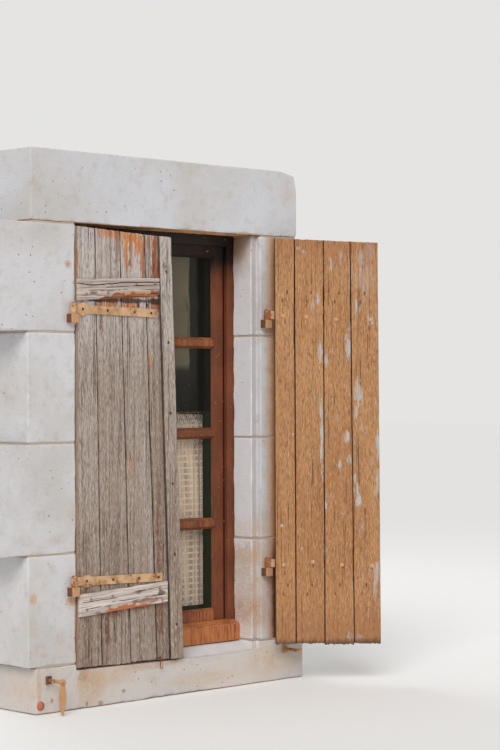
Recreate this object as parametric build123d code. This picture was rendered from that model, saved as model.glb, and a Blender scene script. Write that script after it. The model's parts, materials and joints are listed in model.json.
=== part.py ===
"""Plank window shutters in a dressed-stone surround, with the timber casement window behind them.

Millimetres. X runs along the wall, Y into the building from the stone's outer face, and Z up from
the sill's bed. Each leaf is drawn closed and then turned about its pins. The finished set is moved
so that its origin lies on the sill's bed, at the middle of the stone's depth.
"""
from build123d import *
import os
from math import pi, sin

LEFT = -1
RIGHT = 1
SIDES = {"left": LEFT, "right": RIGHT}

# Stone surround
opening_width = 944.0          # between the outer arrises of the jambs
opening_height = 1600.0        # from the stools to the lintel
stone_depth = 280.0
course_count = 4
bed_thickness = 6.0
bed_recess = 4.0
short_bond = 221.0             # width of a short jamb stone beyond the opening
long_bond = 362.0
rebate_width = 25.0            # outer rebate that the leaves close into
rebate_depth = 25.0
frame_setback = 130.0          # from the stone's face to the window frame's face
seat_width = 28.0              # inner rebate that the window frame stands in
stone_arris = 3.0              # worn edge of each stone
lintel_height = 262.0
lintel_bearing = 206.0
chip_length = 83.0             # broken corner of the lintel
chip_height = 75.0
chip_knee_length = 14.0
chip_knee_height = 17.0
chip_depth = 90.0
sill_height = 165.0
left_sill_bearing = 184.0
right_sill_bearing = 236.0
wash_front_drop = 33.0         # the sloped top of the sill, below the stools
wash_step_drop = 30.0
wash_back_drop = 5.0
wash_back = 80.0
wash_end_drop = 1.0
overshoot = 1.0                # how far a cut runs past the face that it opens

# Pintles and strap hinges
pin_offset = 22.0              # pin axis outside the arris
pin_proud = 16.0               # pin axis in front of the stone's face
pin_radius = 7.0
pin_clearance = 0.08
eye_wall = 5.0
eye_height = 38.0
eye_gap = 0.3                  # between the eye and the collar it turns on
collar_width = 40.0
collar_height = 32.0
collar_front = 12.0            # collar in front of the pin axis
collar_round = 7.0
tail_size = 18.0
tail_length = 70.0
tail_fork = 22.0
tail_spread = 6.0
pin_end = 5.0                  # pin above the eye
pin_chamfer = 1.5
socket_size = 44.0
socket_depth = 85.0
strap_thickness = 5.0
strap_width = 31.0
strap_bulge_radius = 24.0
left_strap_from_lintel = 312.0
left_strap_from_sill = 300.0
right_strap_from_lintel = 314.0
right_strap_from_sill = 307.0

# Shutter leaves
board_thickness = 27.0
board_gap = 2.5
leaf_proud = 4.0               # outer face of the boards in front of the stone's face
hinge_edge_gap = 4.0
batten_thickness = 13.0
strip_thickness = 14.0
left_open_angle = 0.0
right_open_angle = 143.0
split_width = 2.5              # crack in the left leaf's first board
split_length = 187.0
split_reach = 57.0
split_overrun = 4.0

# Each leaf: widths of its boards at the top and bottom, from the hinge edge, where the last board
# takes what is left, how far its meeting edge stays short of the middle at the top and bottom, and
# the drop of its top edge below the lintel and of its bottom edge below the stools, at the hinge
# and free edges
board_tops = {LEFT: (86.0, 120.0, 121.0), RIGHT: (78.0, 115.0, 107.5)}
board_bottoms = {LEFT: (115.0, 141.0, 130.0), RIGHT: (81.0, 115.0, 118.0)}
short_of_middle = {LEFT: (18.0, -42.0), RIGHT: (56.5, 47.0)}
top_drop = {LEFT: (9.5, 31.5), RIGHT: (12.5, 28.0)}
bottom_drop = {LEFT: (19.0, 25.5), RIGHT: (14.0, 21.0)}
end_offsets = {LEFT: (1.5, -1.0, 2.0, 0.0), RIGHT: (0.0, 2.5, -1.0, 1.5)}
strip_top_width = 61.0
strip_bottom_width = 66.0

# Battens: where they start from the arris, how far they stop short of the cover strip or of the
# leaf's free edge, their middle line's distance from the lintel or the stools at both ends, and
# their height at both ends
battens = {
    (LEFT, "upper"): {"start": 1.0, "short": 6.5, "middle": (-243.0, -222.5), "tall": (79.0, 70.5)},
    (LEFT, "lower"): {"start": 5.0, "short": 2.5, "middle": (211.0, 233.0), "tall": (82.0, 79.5)},
    (RIGHT, "upper"): {"start": 8.0, "short": 14.0, "middle": (-237.0, -244.0), "tall": (80.0, 80.0)},
    (RIGHT, "lower"): {"start": 8.0, "short": 14.0, "middle": (209.0, 204.0), "tall": (80.0, 80.0)},
}
# Straps: how far they stop short of the same edge, their nails as shares of their length, and how
# far their free end sags
straps = {
    (LEFT, "upper"): {"short": 17.5, "nails": (0.070, 0.374, 0.716, 0.931), "sag": 9.0},
    (LEFT, "lower"): {"short": 25.5, "nails": (0.102, 0.408, 0.719, 0.954), "sag": 11.0},
    (RIGHT, "upper"): {"short": 22.0, "nails": (0.076, 0.328, 0.627, 0.972), "sag": 20.0},
    (RIGHT, "lower"): {"short": 22.0, "nails": (0.071, 0.381, 0.675, 0.971), "sag": 17.0},
}
break_start = 130.0            # the broken lower edge of the left leaf's upper batten
break_height = 15.0
break_depth = 12.0
break_line = ((0.0, 0.0), (0.12, 0.8), (0.3, 0.55), (0.48, 1.0), (0.66, 0.6), (0.85, 1.15), (1.0, 0.7))
nail_head = 9.0
nail_head_height = 2.5
nail_head_taper = 35.0
nail_shank = 3.5
clinch_length = 10.0
clinch_thickness = 2.2
batten_nail_rows = (0.28, 0.72)
batten_nail_aside = 18.0       # between a board's two nails, along the batten
strip_nail_count = 6

# Hook that hangs from the left leaf
hook_from_strip = 50.0
hook_above_bottom = 11.0
hook_wire = 1.6
hook_bar_radius = 1.5
hook_ring_radius = 3.9
hook_reach = 8.0               # crossbar of the staple in front of the boards
hook_leg = 6.0
hook_leg_depth = 15.0
hook_shank = 30.0
hook_curl = 6.0

# Holdbacks and boss in the sill
holdback_from_arris = 130.6
holdback_height = 121.0
arm_radius = 7.0
arm_shoulder = 74.5            # shoulder that the tongue turns against, from the stone's face
arm_tail = 60.0
arm_tail_size = 12.0
plate_width = 24.0
plate_height = 28.0
plate_thickness = 5.0
tongue_pin_radius = 5.0
tongue_thickness = 9.0
tongue_gap = 0.3
tongue_eye_radius = 11.0
tongue_length = 117.0
tongue_width = 26.0
tongue_wide_drop = 74.0
tongue_neck_width = 12.0
tongue_neck_drop = 7.5
knob_radius = 9.0
knob_height = 9.0
boss_from_arris = 166.0
boss_height = 32.0
boss_radius = 17.0
boss_dome = 8.0
boss_shank = 30.0
boss_shank_size = 12.0

# Window frame
frame_depth = 57.0
frame_face_width = 34.0        # jamb seen from outside
frame_lip = 15.0               # depth of the lip that the sashes close behind
sash_overlap = 12.0
frame_clearance = 3.0          # between the frame and the stone beside it
head_clearance = 1.5
nose_clearance = 1.0
head_face_height = 40.0
rail_nose = 35.0               # weather rail in front of the frame's face
rail_nose_height = 66.0
rail_slope = 12.0
rail_lip_height = 80.0
drip_size = 5.0
drip_inset = 10.0

# Sashes
sash_thickness = 40.0
sash_gap = 2.0
sash_foot_gap = 3.0
hinge_gap = 2.5
meeting_gap = 4.0
hinge_stile_width = 67.5
meeting_stile_width = 57.0
top_rail_height = 60.0
bottom_rail_height = 57.0
bar_height = 44.0
pane_rows = 4
glass_thickness = 3.0
glass_clearance = 0.5
glass_bite = 5.0
putty_depth = 15.0
putty_width = 10.0
hinge_from_end = 180.0
knuckle_radius = 6.0
knuckle_height = 36.0
knuckle_gap = 0.4
hinge_axis_inset = 1.0         # hinge axis inside the frame's edge
hinge_pin_radius = 3.5
hinge_pin_top = 4.0            # pin and its bore end short of the upper knuckle's top
hinge_bore_top = 2.0
hinge_plate_width = 34.0
hinge_plate_thickness = 2.0
frame_plate_offset = 1.5
sash_plate_offset = 2.0

# Fastener on the inside of the right sash
case_width = 44.0
case_depth = 24.0
case_height = 104.0
case_round = 6.0
case_above_sash_foot = 650.0
bolt_radius = 5.0
bolt_clearance = 0.6
bolt_from_face = 7.0
bolt_travel = 14.0
bolt_inside = 30.0
bolt_end_gap = 1.0
keeper_width = 24.0
keeper_depth = 12.0            # of a keeper beyond the travel of its bolt
keeper_gap = 3.5
guide_width = 20.0
guide_height = 14.0
guide_from_end = 60.0
holder_wall = 3.0
spindle_radius = 5.0
spindle_depth = 10.0
spindle_end_gap = 1.0
neck_radius = 7.0
handle_radius = 8.0
handle_length = 56.0
handle_stand = 20.0

# Net half-curtains on rods
rod_radius = 4.0
rod_above_glass = 770.0        # from the lowest edge of the glass
rod_from_face = 14.0
rod_bracket = 6.0
rod_end = 4.0                  # of the rod, between the glass's edge and its bracket
curtain_above_glass = 14.0
curtain_margin = 2.0
curtain_phase = 0.4
curtain_thickness = 1.6
curtain_fold = 6.0
curtain_folds = 11
points_per_fold = 6
sleeve_gap = 0.3

# Places that several pieces share
arris_x = opening_width / 2
reveal_x = arris_x - rebate_width
seat_x = reveal_x + seat_width
lintel_z = sill_height + opening_height
lintel_top = lintel_z + lintel_height
pin_x = arris_x + pin_offset
eye_radius = pin_radius + pin_clearance + eye_wall
course_pitch = opening_height / course_count
sill_bearing = {LEFT: left_sill_bearing, RIGHT: right_sill_bearing}
open_angle = {LEFT: left_open_angle, RIGHT: right_open_angle}
levels = ("upper", "lower")
strap_heights = {
    (LEFT, "upper"): lintel_z - left_strap_from_lintel,
    (LEFT, "lower"): sill_height + left_strap_from_sill,
    (RIGHT, "upper"): lintel_z - right_strap_from_lintel,
    (RIGHT, "lower"): sill_height + right_strap_from_sill,
}
batten_base = {"upper": lintel_z, "lower": sill_height}
board_count = len(board_tops[LEFT]) + 1
frame_back = frame_setback + frame_depth
frame_outer_x = seat_x - frame_clearance
lip_x = reveal_x - frame_face_width
jamb_x = lip_x + sash_overlap
sash_front = frame_setback + frame_lip + sash_gap
sash_outer_x = jamb_x - hinge_gap
sash_low = sill_height + rail_lip_height - sash_overlap + sash_foot_gap
sash_high = lintel_z - head_face_height + sash_overlap - sash_gap
glass_inner_x = meeting_gap / 2 + meeting_stile_width
glass_outer_x = sash_outer_x - hinge_stile_width
glass_low = sash_low + bottom_rail_height
glass_high = sash_high - top_rail_height
pane_height = (glass_high - glass_low - (pane_rows - 1) * bar_height) / pane_rows
hinge_axis_x = jamb_x - hinge_axis_inset
hinge_axis_y = frame_back + knuckle_radius + knuckle_gap
bolt_x = meeting_gap / 2 + meeting_stile_width / 2
bolt_y = frame_back + bolt_from_face
keeper_height = bolt_travel + keeper_depth
case_middle = sash_low + case_above_sash_foot
rod_height = glass_low + rod_above_glass
curtain_bottom = glass_low + curtain_above_glass
holdback_x = arris_x + holdback_from_arris


def block(x0, x1, y0, y1, z0, z1):
    """A box between two corners."""
    return Pos((x0 + x1) / 2, (y0 + y1) / 2, (z0 + z1) / 2) * Box(abs(x1 - x0), abs(y1 - y0), abs(z1 - z0))


def sided(side, x0, x1, y0, y1, z0, z1):
    """A box given for the right half and mirrored to its side."""
    return block(side * x0, side * x1, y0, y1, z0, z1)


def prism_x(section, x0, x1):
    """A section of (y, z) points carried from x0 to x1."""
    face = make_face(Polyline([(x0, y, z) for y, z in section], close=True))
    return extrude(face, amount=x1 - x0, dir=(1, 0, 0))


def prism_y(outline, y0, y1):
    """An outline of (x, z) points carried from y0 to y1."""
    face = make_face(Polyline([(x, y0, z) for x, z in outline], close=True))
    return extrude(face, amount=y1 - y0, dir=(0, 1, 0))


def prism_z(plan, z0, z1):
    """A plan of (x, y) points carried from z0 to z1."""
    face = make_face(Polyline([(x, y, z0) for x, y in plan], close=True))
    return extrude(face, amount=z1 - z0, dir=(0, 0, 1))


def rod_x(radius, x0, x1, y, z):
    return Pos((x0 + x1) / 2, y, z) * Rot(0, 90, 0) * Cylinder(radius, abs(x1 - x0))


def rod_y(radius, x, y0, y1, z):
    return Pos(x, (y0 + y1) / 2, z) * Rot(90, 0, 0) * Cylinder(radius, abs(y1 - y0))


def rod_z(radius, x, y, z0, z1):
    return Pos(x, y, (z0 + z1) / 2) * Cylinder(radius, abs(z1 - z0))


def group(shapes):
    """Separate solids that share a node."""
    return Compound([solid for shape in shapes for solid in shape.solids()])


# Stone

def jamb_plan(side, bond, inset=0.0):
    """Plan of a jamb stone, with both rebates. The inset draws it in from the faces that show."""
    points = (
        (arris_x + inset, inset),
        (arris_x + bond - inset, inset),
        (arris_x + bond - inset, stone_depth - inset),
        (seat_x + inset, stone_depth - inset),
        (seat_x + inset, frame_setback),
        (reveal_x + inset, frame_setback),
        (reveal_x + inset, rebate_depth + inset),
        (arris_x + inset, rebate_depth + inset),
    )
    return [(side * x, y) for x, y in points]


def course_bond(course):
    return long_bond if course % 2 else short_bond


def course_span(course):
    """Lowest and highest point of a jamb stone between its beds."""
    low = sill_height + course * course_pitch + bed_thickness
    top_bed = bed_thickness if course == course_count - 1 else 0.0
    return low, sill_height + (course + 1) * course_pitch - top_bed


def worn(stone):
    """Breaks the edges of the face that shows."""
    face = stone.faces().sort_by(Axis.Y)[0]
    return chamfer(face.edges(), stone_arris)


def collar_low(side, level):
    return strap_heights[side, level] - eye_height / 2 - eye_gap - collar_height


def tail_middle(side, level):
    return collar_low(side, level) + collar_height / 2


def socket(side, level, start=0.0):
    """Space cut in the stones for the tail of a pintle and its mortar."""
    half = socket_size / 2
    middle = tail_middle(side, level)
    x = side * pin_x
    return block(x - half, x + half, start, socket_depth, middle - half, middle + half)


def reached_sockets(side, low, high):
    """The sockets that a stone or bed between these heights gives way to."""
    half = socket_size / 2
    return [socket(side, level, -overshoot) for level in levels
            if low < tail_middle(side, level) + half and tail_middle(side, level) - half < high]


def jamb_stone(side, course):
    low, high = course_span(course)
    stone = worn(prism_z(jamb_plan(side, course_bond(course)), low, high))
    for cut in reached_sockets(side, low, high):
        stone -= cut
    return stone


def mortar():
    """Beds between the courses and the plugs round the sealed tails."""
    pieces = []
    for side in (LEFT, RIGHT):
        for course in range(course_count + 1):
            below = sill_bearing[side] if course == 0 else course_bond(course - 1)
            above = lintel_bearing if course == course_count else course_bond(course)
            top_bed = bed_thickness if course == course_count else 0.0
            low = sill_height + course * course_pitch - top_bed
            bed = prism_z(jamb_plan(side, min(below, above), bed_recess), low, low + bed_thickness)
            for cut in reached_sockets(side, low, low + bed_thickness):
                bed -= cut
            pieces.append(bed)
        for level in levels:
            pieces.append(socket(side, level) - pintle_tail(side, level))
    return group(pieces)


def lintel_stone():
    end_x = arris_x + lintel_bearing
    stone = worn(block(-end_x, end_x, 0, stone_depth, lintel_z, lintel_top))
    stone -= block(-seat_x, seat_x, frame_setback, stone_depth + overshoot, lintel_z - overshoot,
                   lintel_z + seat_width)
    chip = [
        (end_x - chip_length, lintel_top + overshoot),
        (end_x - chip_knee_length, lintel_top - chip_knee_height),
        (end_x + overshoot, lintel_top - chip_height),
        (end_x + overshoot, lintel_top + overshoot),
    ]
    return stone - prism_y(chip, -overshoot, chip_depth)


def wash_section(depth):
    """Material above the sloped wash, back to the given depth."""
    full = (
        (-overshoot, sill_height - wash_front_drop),
        (rebate_depth, sill_height - wash_step_drop),
        (wash_back, sill_height - wash_back_drop),
        (frame_setback, sill_height - wash_end_drop),
    )
    inside = [point for point in full if point[0] <= depth]
    above = sill_height + overshoot
    return inside + [(inside[-1][0], above), (-overshoot, above)]


def shank(size, depth, x, z):
    """Square end of an iron, sealed in the stone."""
    half = size / 2
    return block(x - half, x + half, 0, depth, z - half, z + half)


def arm_shank(side):
    return shank(arm_tail_size, arm_tail, side * holdback_x, holdback_height)


def boss_shank_block():
    return shank(boss_shank_size, boss_shank, -(arris_x + boss_from_arris), boss_height)


def sill_stone():
    left_end = -(arris_x + sill_bearing[LEFT])
    right_end = arris_x + sill_bearing[RIGHT]
    stone = worn(block(left_end, right_end, 0, stone_depth, 0, sill_height))
    stone -= prism_x(wash_section(frame_setback), -reveal_x, reveal_x)
    stone -= prism_x(wash_section(rebate_depth), -arris_x, arris_x)
    for side in (LEFT, RIGHT):
        stone -= arm_shank(side)
    return stone - boss_shank_block()


# Ironwork in the stone

def pintle_tail(side, level):
    """Square bar that splits and spreads at its end, sealed in the stone."""
    half = tail_size / 2
    fork = tail_length - tail_fork
    plan = [
        (-half, 0), (half, 0), (half, fork), (half + tail_spread, tail_length),
        (half - tail_spread, tail_length), (0, fork + half), (tail_spread - half, tail_length),
        (-half - tail_spread, tail_length), (-half, fork),
    ]
    middle = tail_middle(side, level)
    return prism_z([(side * pin_x + x, y) for x, y in plan], middle - half, middle + half)


def pintle(side, level):
    """Collar that the eye rests on, the pin on top of it, and the tail."""
    x = side * pin_x
    low = collar_low(side, level)
    front = -pin_proud - collar_front
    collar = block(x - collar_width / 2, x + collar_width / 2, front, 0, low, low + collar_height)
    upright = collar.edges().filter_by(Axis.Z).group_by(Axis.Y)[0]
    collar = fillet(upright, collar_round)
    top = low + collar_height
    pin = rod_z(pin_radius, x, -pin_proud, top, top + eye_gap + eye_height + pin_end)
    pin = chamfer(pin.edges().group_by(Axis.Z)[-1], pin_chamfer)
    return collar + pin + pintle_tail(side, level)


def holdback_arm(side):
    """Tail in the sill, plate, round arm, thin pin for the tongue and knob."""
    x = side * holdback_x
    pin_end = arm_shoulder + tongue_thickness + 2 * tongue_gap
    arm = rod_y(arm_radius, x, -arm_shoulder, 0, holdback_height)
    pin = rod_y(tongue_pin_radius, x, -pin_end, -arm_shoulder, holdback_height)
    knob = rod_y(knob_radius, x, -pin_end - knob_height, -pin_end, holdback_height)
    knob = fillet(knob.edges().group_by(Axis.Y)[0], knob_height / 2)
    plate = block(x - plate_width / 2, x + plate_width / 2, -plate_thickness, 0,
                  holdback_height - plate_height / 2, holdback_height + plate_height / 2)
    return arm + pin + knob + plate + arm_shank(side)


def sill_boss():
    """Low dome of a big round head, on a square shank in the sill."""
    sphere_radius = (boss_radius**2 + boss_dome**2) / (2 * boss_dome)
    x = -(arris_x + boss_from_arris)
    ball = Pos(x, sphere_radius - boss_dome, boss_height) * Sphere(sphere_radius)
    wide = boss_radius + overshoot
    dome = ball & block(x - wide, x + wide, -boss_dome - overshoot, 0, boss_height - wide,
                        boss_height + wide)
    return dome + boss_shank_block()


def holdback_tongue():
    """Tongue that hangs from its eye, widest below its middle and pointed at the tip."""
    x = -holdback_x
    back = -arm_shoulder - tongue_gap
    front = back - tongue_thickness
    neck = tongue_neck_width / 2
    neck_z = holdback_height - tongue_neck_drop
    wide_z = holdback_height - tongue_wide_drop
    tip = (x, back, holdback_height - tongue_length)
    right = Spline((x + neck, back, neck_z), (x + tongue_width / 2, back, wide_z), tip)
    left = Spline(tip, (x - tongue_width / 2, back, wide_z), (x - neck, back, neck_z))
    top = Line((x - neck, back, neck_z), (x + neck, back, neck_z))
    blade = extrude(make_face([right, left, top]), amount=tongue_thickness, dir=(0, -1, 0))
    eye = rod_y(tongue_eye_radius, x, front, back, holdback_height)
    bore = rod_y(tongue_pin_radius + pin_clearance, x, front - overshoot, back + overshoot,
                 holdback_height)
    return blade + eye - bore


# Leaves

def leaf_x(side, reach):
    """X of a point that lies this far from the arris, on a closed leaf."""
    return side * (arris_x - reach)


def free_reach(side, high):
    """Distance from the arris to the leaf's free edge, at the top or bottom of the leaf."""
    at_top, at_bottom = short_of_middle[side]
    return arris_x - (at_top if high else at_bottom)


def joint_reach(side, index, high):
    """Distance from the arris to a board joint or to the leaf's edge, at its top or bottom."""
    if index == board_count:
        return free_reach(side, high)
    widths = board_tops[side] if high else board_bottoms[side]
    return hinge_edge_gap + sum(widths[:index])


def end_level(side, reach, high):
    """Height of the leaf's sloping top or bottom edge at a distance from the arris."""
    at_hinge, at_free = top_drop[side] if high else bottom_drop[side]
    share = (reach - hinge_edge_gap) / (free_reach(side, True) - hinge_edge_gap)
    base = lintel_z if high else sill_height
    return base - at_hinge - share * (at_free - at_hinge)


def board(side, index):
    """One tapered board, with half a joint's gap taken from each edge that meets a neighbour."""
    near = 0.0 if index == 0 else board_gap / 2
    far = 0.0 if index == board_count - 1 else board_gap / 2
    corners = []
    for high in (False, True):
        span = (joint_reach(side, index, high) + near, joint_reach(side, index + 1, high) - far)
        ends = span if high else span[::-1]
        offset = 0.0 if high else end_offsets[side][index]
        corners += [(leaf_x(side, reach), end_level(side, reach, high) + offset) for reach in ends]
    return prism_y(corners, -leaf_proud, board_thickness - leaf_proud)


def split():
    """A crack in the left leaf's first board, which opens towards the bottom edge."""
    foot = end_level(LEFT, split_reach, False) - split_overrun
    half = split_width / 2
    crack = [(leaf_x(LEFT, split_reach - half), foot), (leaf_x(LEFT, split_reach + half), foot),
             (leaf_x(LEFT, split_reach - half), foot + split_overrun + split_length)]
    return prism_y(crack, -leaf_proud - overshoot, board_thickness - leaf_proud + overshoot)


def strip_reach(high):
    """Distance from the arris to the inner edge of the left leaf's cover strip."""
    return free_reach(LEFT, high) - (strip_top_width if high else strip_bottom_width)


def iron_reach(side, level):
    """Distance from the arris, at a strap's height, to the edge that battens and straps stop short of."""
    edge = [strip_reach(high) if side == LEFT else free_reach(side, high) for high in (False, True)]
    return edge[0] + (strap_heights[side, level] - sill_height) / opening_height * (edge[1] - edge[0])


def batten_corner(side, level, end, edge):
    """A corner of a batten: end 0 or 1 along it, edge -1 for its lower and 1 for its upper side."""
    sizes = battens[side, level]
    reach = (sizes["start"], iron_reach(side, level) - sizes["short"])[end]
    return reach, batten_base[level] + sizes["middle"][end] + edge * sizes["tall"][end] / 2


def batten(side, level):
    order = ((0, -1), (1, -1), (1, 1), (0, 1))
    corners = [batten_corner(side, level, end, edge) for end, edge in order]
    outline = [(leaf_x(side, reach), z) for reach, z in corners]
    return prism_y(outline, -leaf_proud - batten_thickness, -leaf_proud)


def broken_batten():
    """The left leaf's upper batten, whose lower front edge is broken away in a ragged line."""
    whole = batten(LEFT, "upper")
    near, near_z = batten_corner(LEFT, "upper", 0, -1)
    far, far_z = batten_corner(LEFT, "upper", 1, -1)
    slope = (far_z - near_z) / (far - near)
    length = far - break_start + overshoot
    front = -leaf_proud - batten_thickness
    ragged = [(break_start + share * length, tall * break_height) for share, tall in break_line]
    edge = [(leaf_x(LEFT, reach), near_z + slope * (reach - near) + tall) for reach, tall in ragged]
    below = [(leaf_x(LEFT, reach), near_z - break_height) for reach in (far + overshoot, break_start)]
    return whole - prism_y(edge + below, front - overshoot, front + break_depth)


def cover_strip():
    """Vertical strip over the meeting edge of the left leaf."""
    corners = []
    for high in (False, True):
        span = (strip_reach(high), free_reach(LEFT, high))
        ends = span if high else span[::-1]
        corners += [(leaf_x(LEFT, reach), end_level(LEFT, reach, high)) for reach in ends]
    return prism_y(corners, -leaf_proud - strip_thickness, -leaf_proud)


def strap_length(side, level):
    """Distance from the arris to a strap's free end."""
    return iron_reach(side, level) - straps[side, level]["short"]


def strap_level(side, level, reach):
    """Height of a strap's middle line, which sags towards its free end."""
    return strap_heights[side, level] - straps[side, level]["sag"] * reach / strap_length(side, level)


def strap_nail_reaches(side, level):
    return [share * strap_length(side, level) for share in straps[side, level]["nails"]]


def strap(side, level):
    """Rolled eye, flat bar and the round swelling at the first nail."""
    middle = strap_heights[side, level]
    half = strap_width / 2
    tip = strap_length(side, level)
    tip_z = strap_level(side, level, tip)
    first_nail = strap_nail_reaches(side, level)[0]
    outline = [
        (side * pin_x, middle - half), (leaf_x(side, tip), tip_z - half),
        (leaf_x(side, tip), tip_z + half), (side * pin_x, middle + half),
    ]
    front = -leaf_proud - strap_thickness
    bar = prism_y(outline, front, -leaf_proud)
    swelling = rod_y(strap_bulge_radius, leaf_x(side, first_nail), front, -leaf_proud,
                     strap_level(side, level, first_nail))
    low = middle - eye_height / 2
    high = middle + eye_height / 2
    eye = rod_z(eye_radius, side * pin_x, -pin_proud, low, high)
    bore = rod_z(pin_radius + pin_clearance, side * pin_x, -pin_proud, low - overshoot,
                 high + overshoot)
    return bar + swelling + eye - bore


def nail(x, y, z):
    """Square forged nail, driven through to the inner face and bent over there."""
    back = board_thickness - leaf_proud
    half = nail_shank / 2
    base = Plane(origin=(x, y, z), x_dir=(1, 0, 0), z_dir=(0, -1, 0))
    head = extrude(base * Rectangle(nail_head, nail_head), amount=nail_head_height, taper=nail_head_taper)
    shank = block(x - half, x + half, y, back, z - half, z + half)
    clinch = block(x - half, x + half, back, back + clinch_thickness, z - clinch_length, z + half)
    return head + shank + clinch


def strap_nails(side, level):
    y = -leaf_proud - strap_thickness
    return [nail(leaf_x(side, reach), y, strap_level(side, level, reach))
            for reach in strap_nail_reaches(side, level)]


def batten_nails(side, level):
    """Two nails into each board, along both edges of the batten."""
    near, near_low = batten_corner(side, level, 0, -1)
    far, far_low = batten_corner(side, level, 1, -1)
    near_high = batten_corner(side, level, 0, 1)[1]
    far_high = batten_corner(side, level, 1, 1)[1]
    pieces = []
    for index in range(board_count):
        edge = min(joint_reach(side, index + 1, True), far)
        reach = (joint_reach(side, index, True) + edge) / 2
        share = (reach - near) / (far - near)
        low = near_low + share * (far_low - near_low)
        high = near_high + share * (far_high - near_high)
        for row, place in enumerate(batten_nail_rows):
            aside = (row - 0.5) * batten_nail_aside
            z = low + place * (high - low)
            pieces.append(nail(leaf_x(side, reach + aside), -leaf_proud - batten_thickness, z))
    return pieces


def strip_nails():
    """Nails down the middle of the cover strip."""
    pieces = []
    for index in range(strip_nail_count):
        share = (index + 0.5) / strip_nail_count
        edges = [(strip_reach(high) + free_reach(LEFT, high)) / 2 for high in (False, True)]
        reach = edges[0] + share * (edges[1] - edges[0])
        levels = [end_level(LEFT, reach, high) for high in (False, True)]
        z = levels[0] + share * (levels[1] - levels[0])
        pieces.append(nail(leaf_x(LEFT, reach), -leaf_proud - strip_thickness, z))
    return pieces


def hook_place():
    """Middle of the staple's crossbar."""
    reach = strip_reach(False) - hook_from_strip
    z = end_level(LEFT, reach, False) + hook_above_bottom
    return leaf_x(LEFT, reach), -leaf_proud - hook_reach, z


def hook_staple():
    x, y, z = hook_place()
    bar = rod_x(hook_bar_radius, x - hook_leg, x + hook_leg, y, z)
    legs = [rod_y(hook_bar_radius, x + aside, y, hook_leg_depth - leaf_proud, z)
            for aside in (-hook_leg, hook_leg)]
    ends = [Pos(x + aside, y, z) * Sphere(hook_bar_radius) for aside in (-hook_leg, hook_leg)]
    return bar + legs + ends


def left_hook():
    """Ring on the crossbar, straight wire, and a curl at the end."""
    x, y, z = hook_place()
    ring = Pos(x, y, z) * Rot(0, 90, 0) * Torus(hook_ring_radius, hook_wire)
    start = (x, y, z - hook_ring_radius)
    foot = (x, y, z - hook_ring_radius - hook_shank)
    wire = Line(start, foot)
    low = (x + hook_curl, y, foot[2] - hook_curl)
    curl = ThreePointArc(foot, low, (x + 2 * hook_curl, y, foot[2]))
    section = Plane(origin=start, z_dir=(0, 0, -1)) * Circle(hook_wire)
    return ring + sweep(section, path=Wire([wire, curl]))


def fasteners(side):
    pieces = []
    for level in levels:
        pieces += strap_nails(side, level) + batten_nails(side, level)
    if side == LEFT:
        pieces += strip_nails() + [hook_staple()]
    return group(pieces)


def swung(side, shape):
    """Turns a piece of a closed leaf about its pins to where the leaf stands."""
    pins = Axis((side * pin_x, -pin_proud, 0), (0, 0, 1))
    return shape.rotate(pins, side * open_angle[side])


def leaf(name, side):
    pieces = {}
    for index in range(board_count):
        plank = board(side, index)
        if side == LEFT and index == 0:
            plank -= split()
        pieces[f"{name}_board_{index + 1}"] = plank
    for level in levels:
        broken = side == LEFT and level == "upper"
        pieces[f"{name}_{level}_batten"] = broken_batten() if broken else batten(side, level)
        pieces[f"{name}_{level}_strap"] = strap(side, level)
    if side == LEFT:
        pieces[f"{name}_cover_strip"] = cover_strip()
    pieces[f"{name}_nails"] = fasteners(side)
    return {node: swung(side, shape) for node, shape in pieces.items()}


# Window frame

def frame_top():
    return lintel_z + seat_width - head_clearance


def window_jamb(side):
    plan = [(lip_x, frame_setback), (frame_outer_x, frame_setback), (frame_outer_x, frame_back),
            (jamb_x, frame_back), (jamb_x, frame_setback + frame_lip), (lip_x, frame_setback + frame_lip)]
    return prism_z([(side * x, y) for x, y in plan], sill_height, frame_top())


def window_head():
    low = lintel_z - head_face_height
    lip_back = frame_setback + frame_lip
    lip = block(-lip_x, lip_x, frame_setback, lip_back, low, frame_top())
    return lip + block(-jamb_x, jamb_x, lip_back, frame_back, low + sash_overlap, frame_top())


def window_weather_rail():
    """Bottom of the frame, with a moulded nose over the sill, a sloped top and a drip groove."""
    front = frame_setback - rail_nose
    nose_top = sill_height + rail_nose_height
    groove = front + drip_inset
    section = [
        (front, sill_height), (groove, sill_height), (groove, sill_height + drip_size),
        (groove + drip_size, sill_height + drip_size), (groove + drip_size, sill_height),
        (frame_setback, sill_height), (frame_setback, nose_top + rail_slope),
        (front + drip_size, nose_top), (front, nose_top - drip_size),
    ]
    nose_x = reveal_x - nose_clearance
    nose = prism_x(section, -nose_x, nose_x)
    lip_back = frame_setback + frame_lip
    lip_top = sill_height + rail_lip_height
    lip = block(-lip_x, lip_x, frame_setback, lip_back, sill_height, lip_top)
    back = block(-jamb_x, jamb_x, lip_back, frame_back, sill_height, lip_top - sash_overlap)
    return nose + lip + back


# Sashes

def pane_level(row):
    """Lowest point of a pane's opening."""
    return glass_low + row * (pane_height + bar_height)


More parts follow.
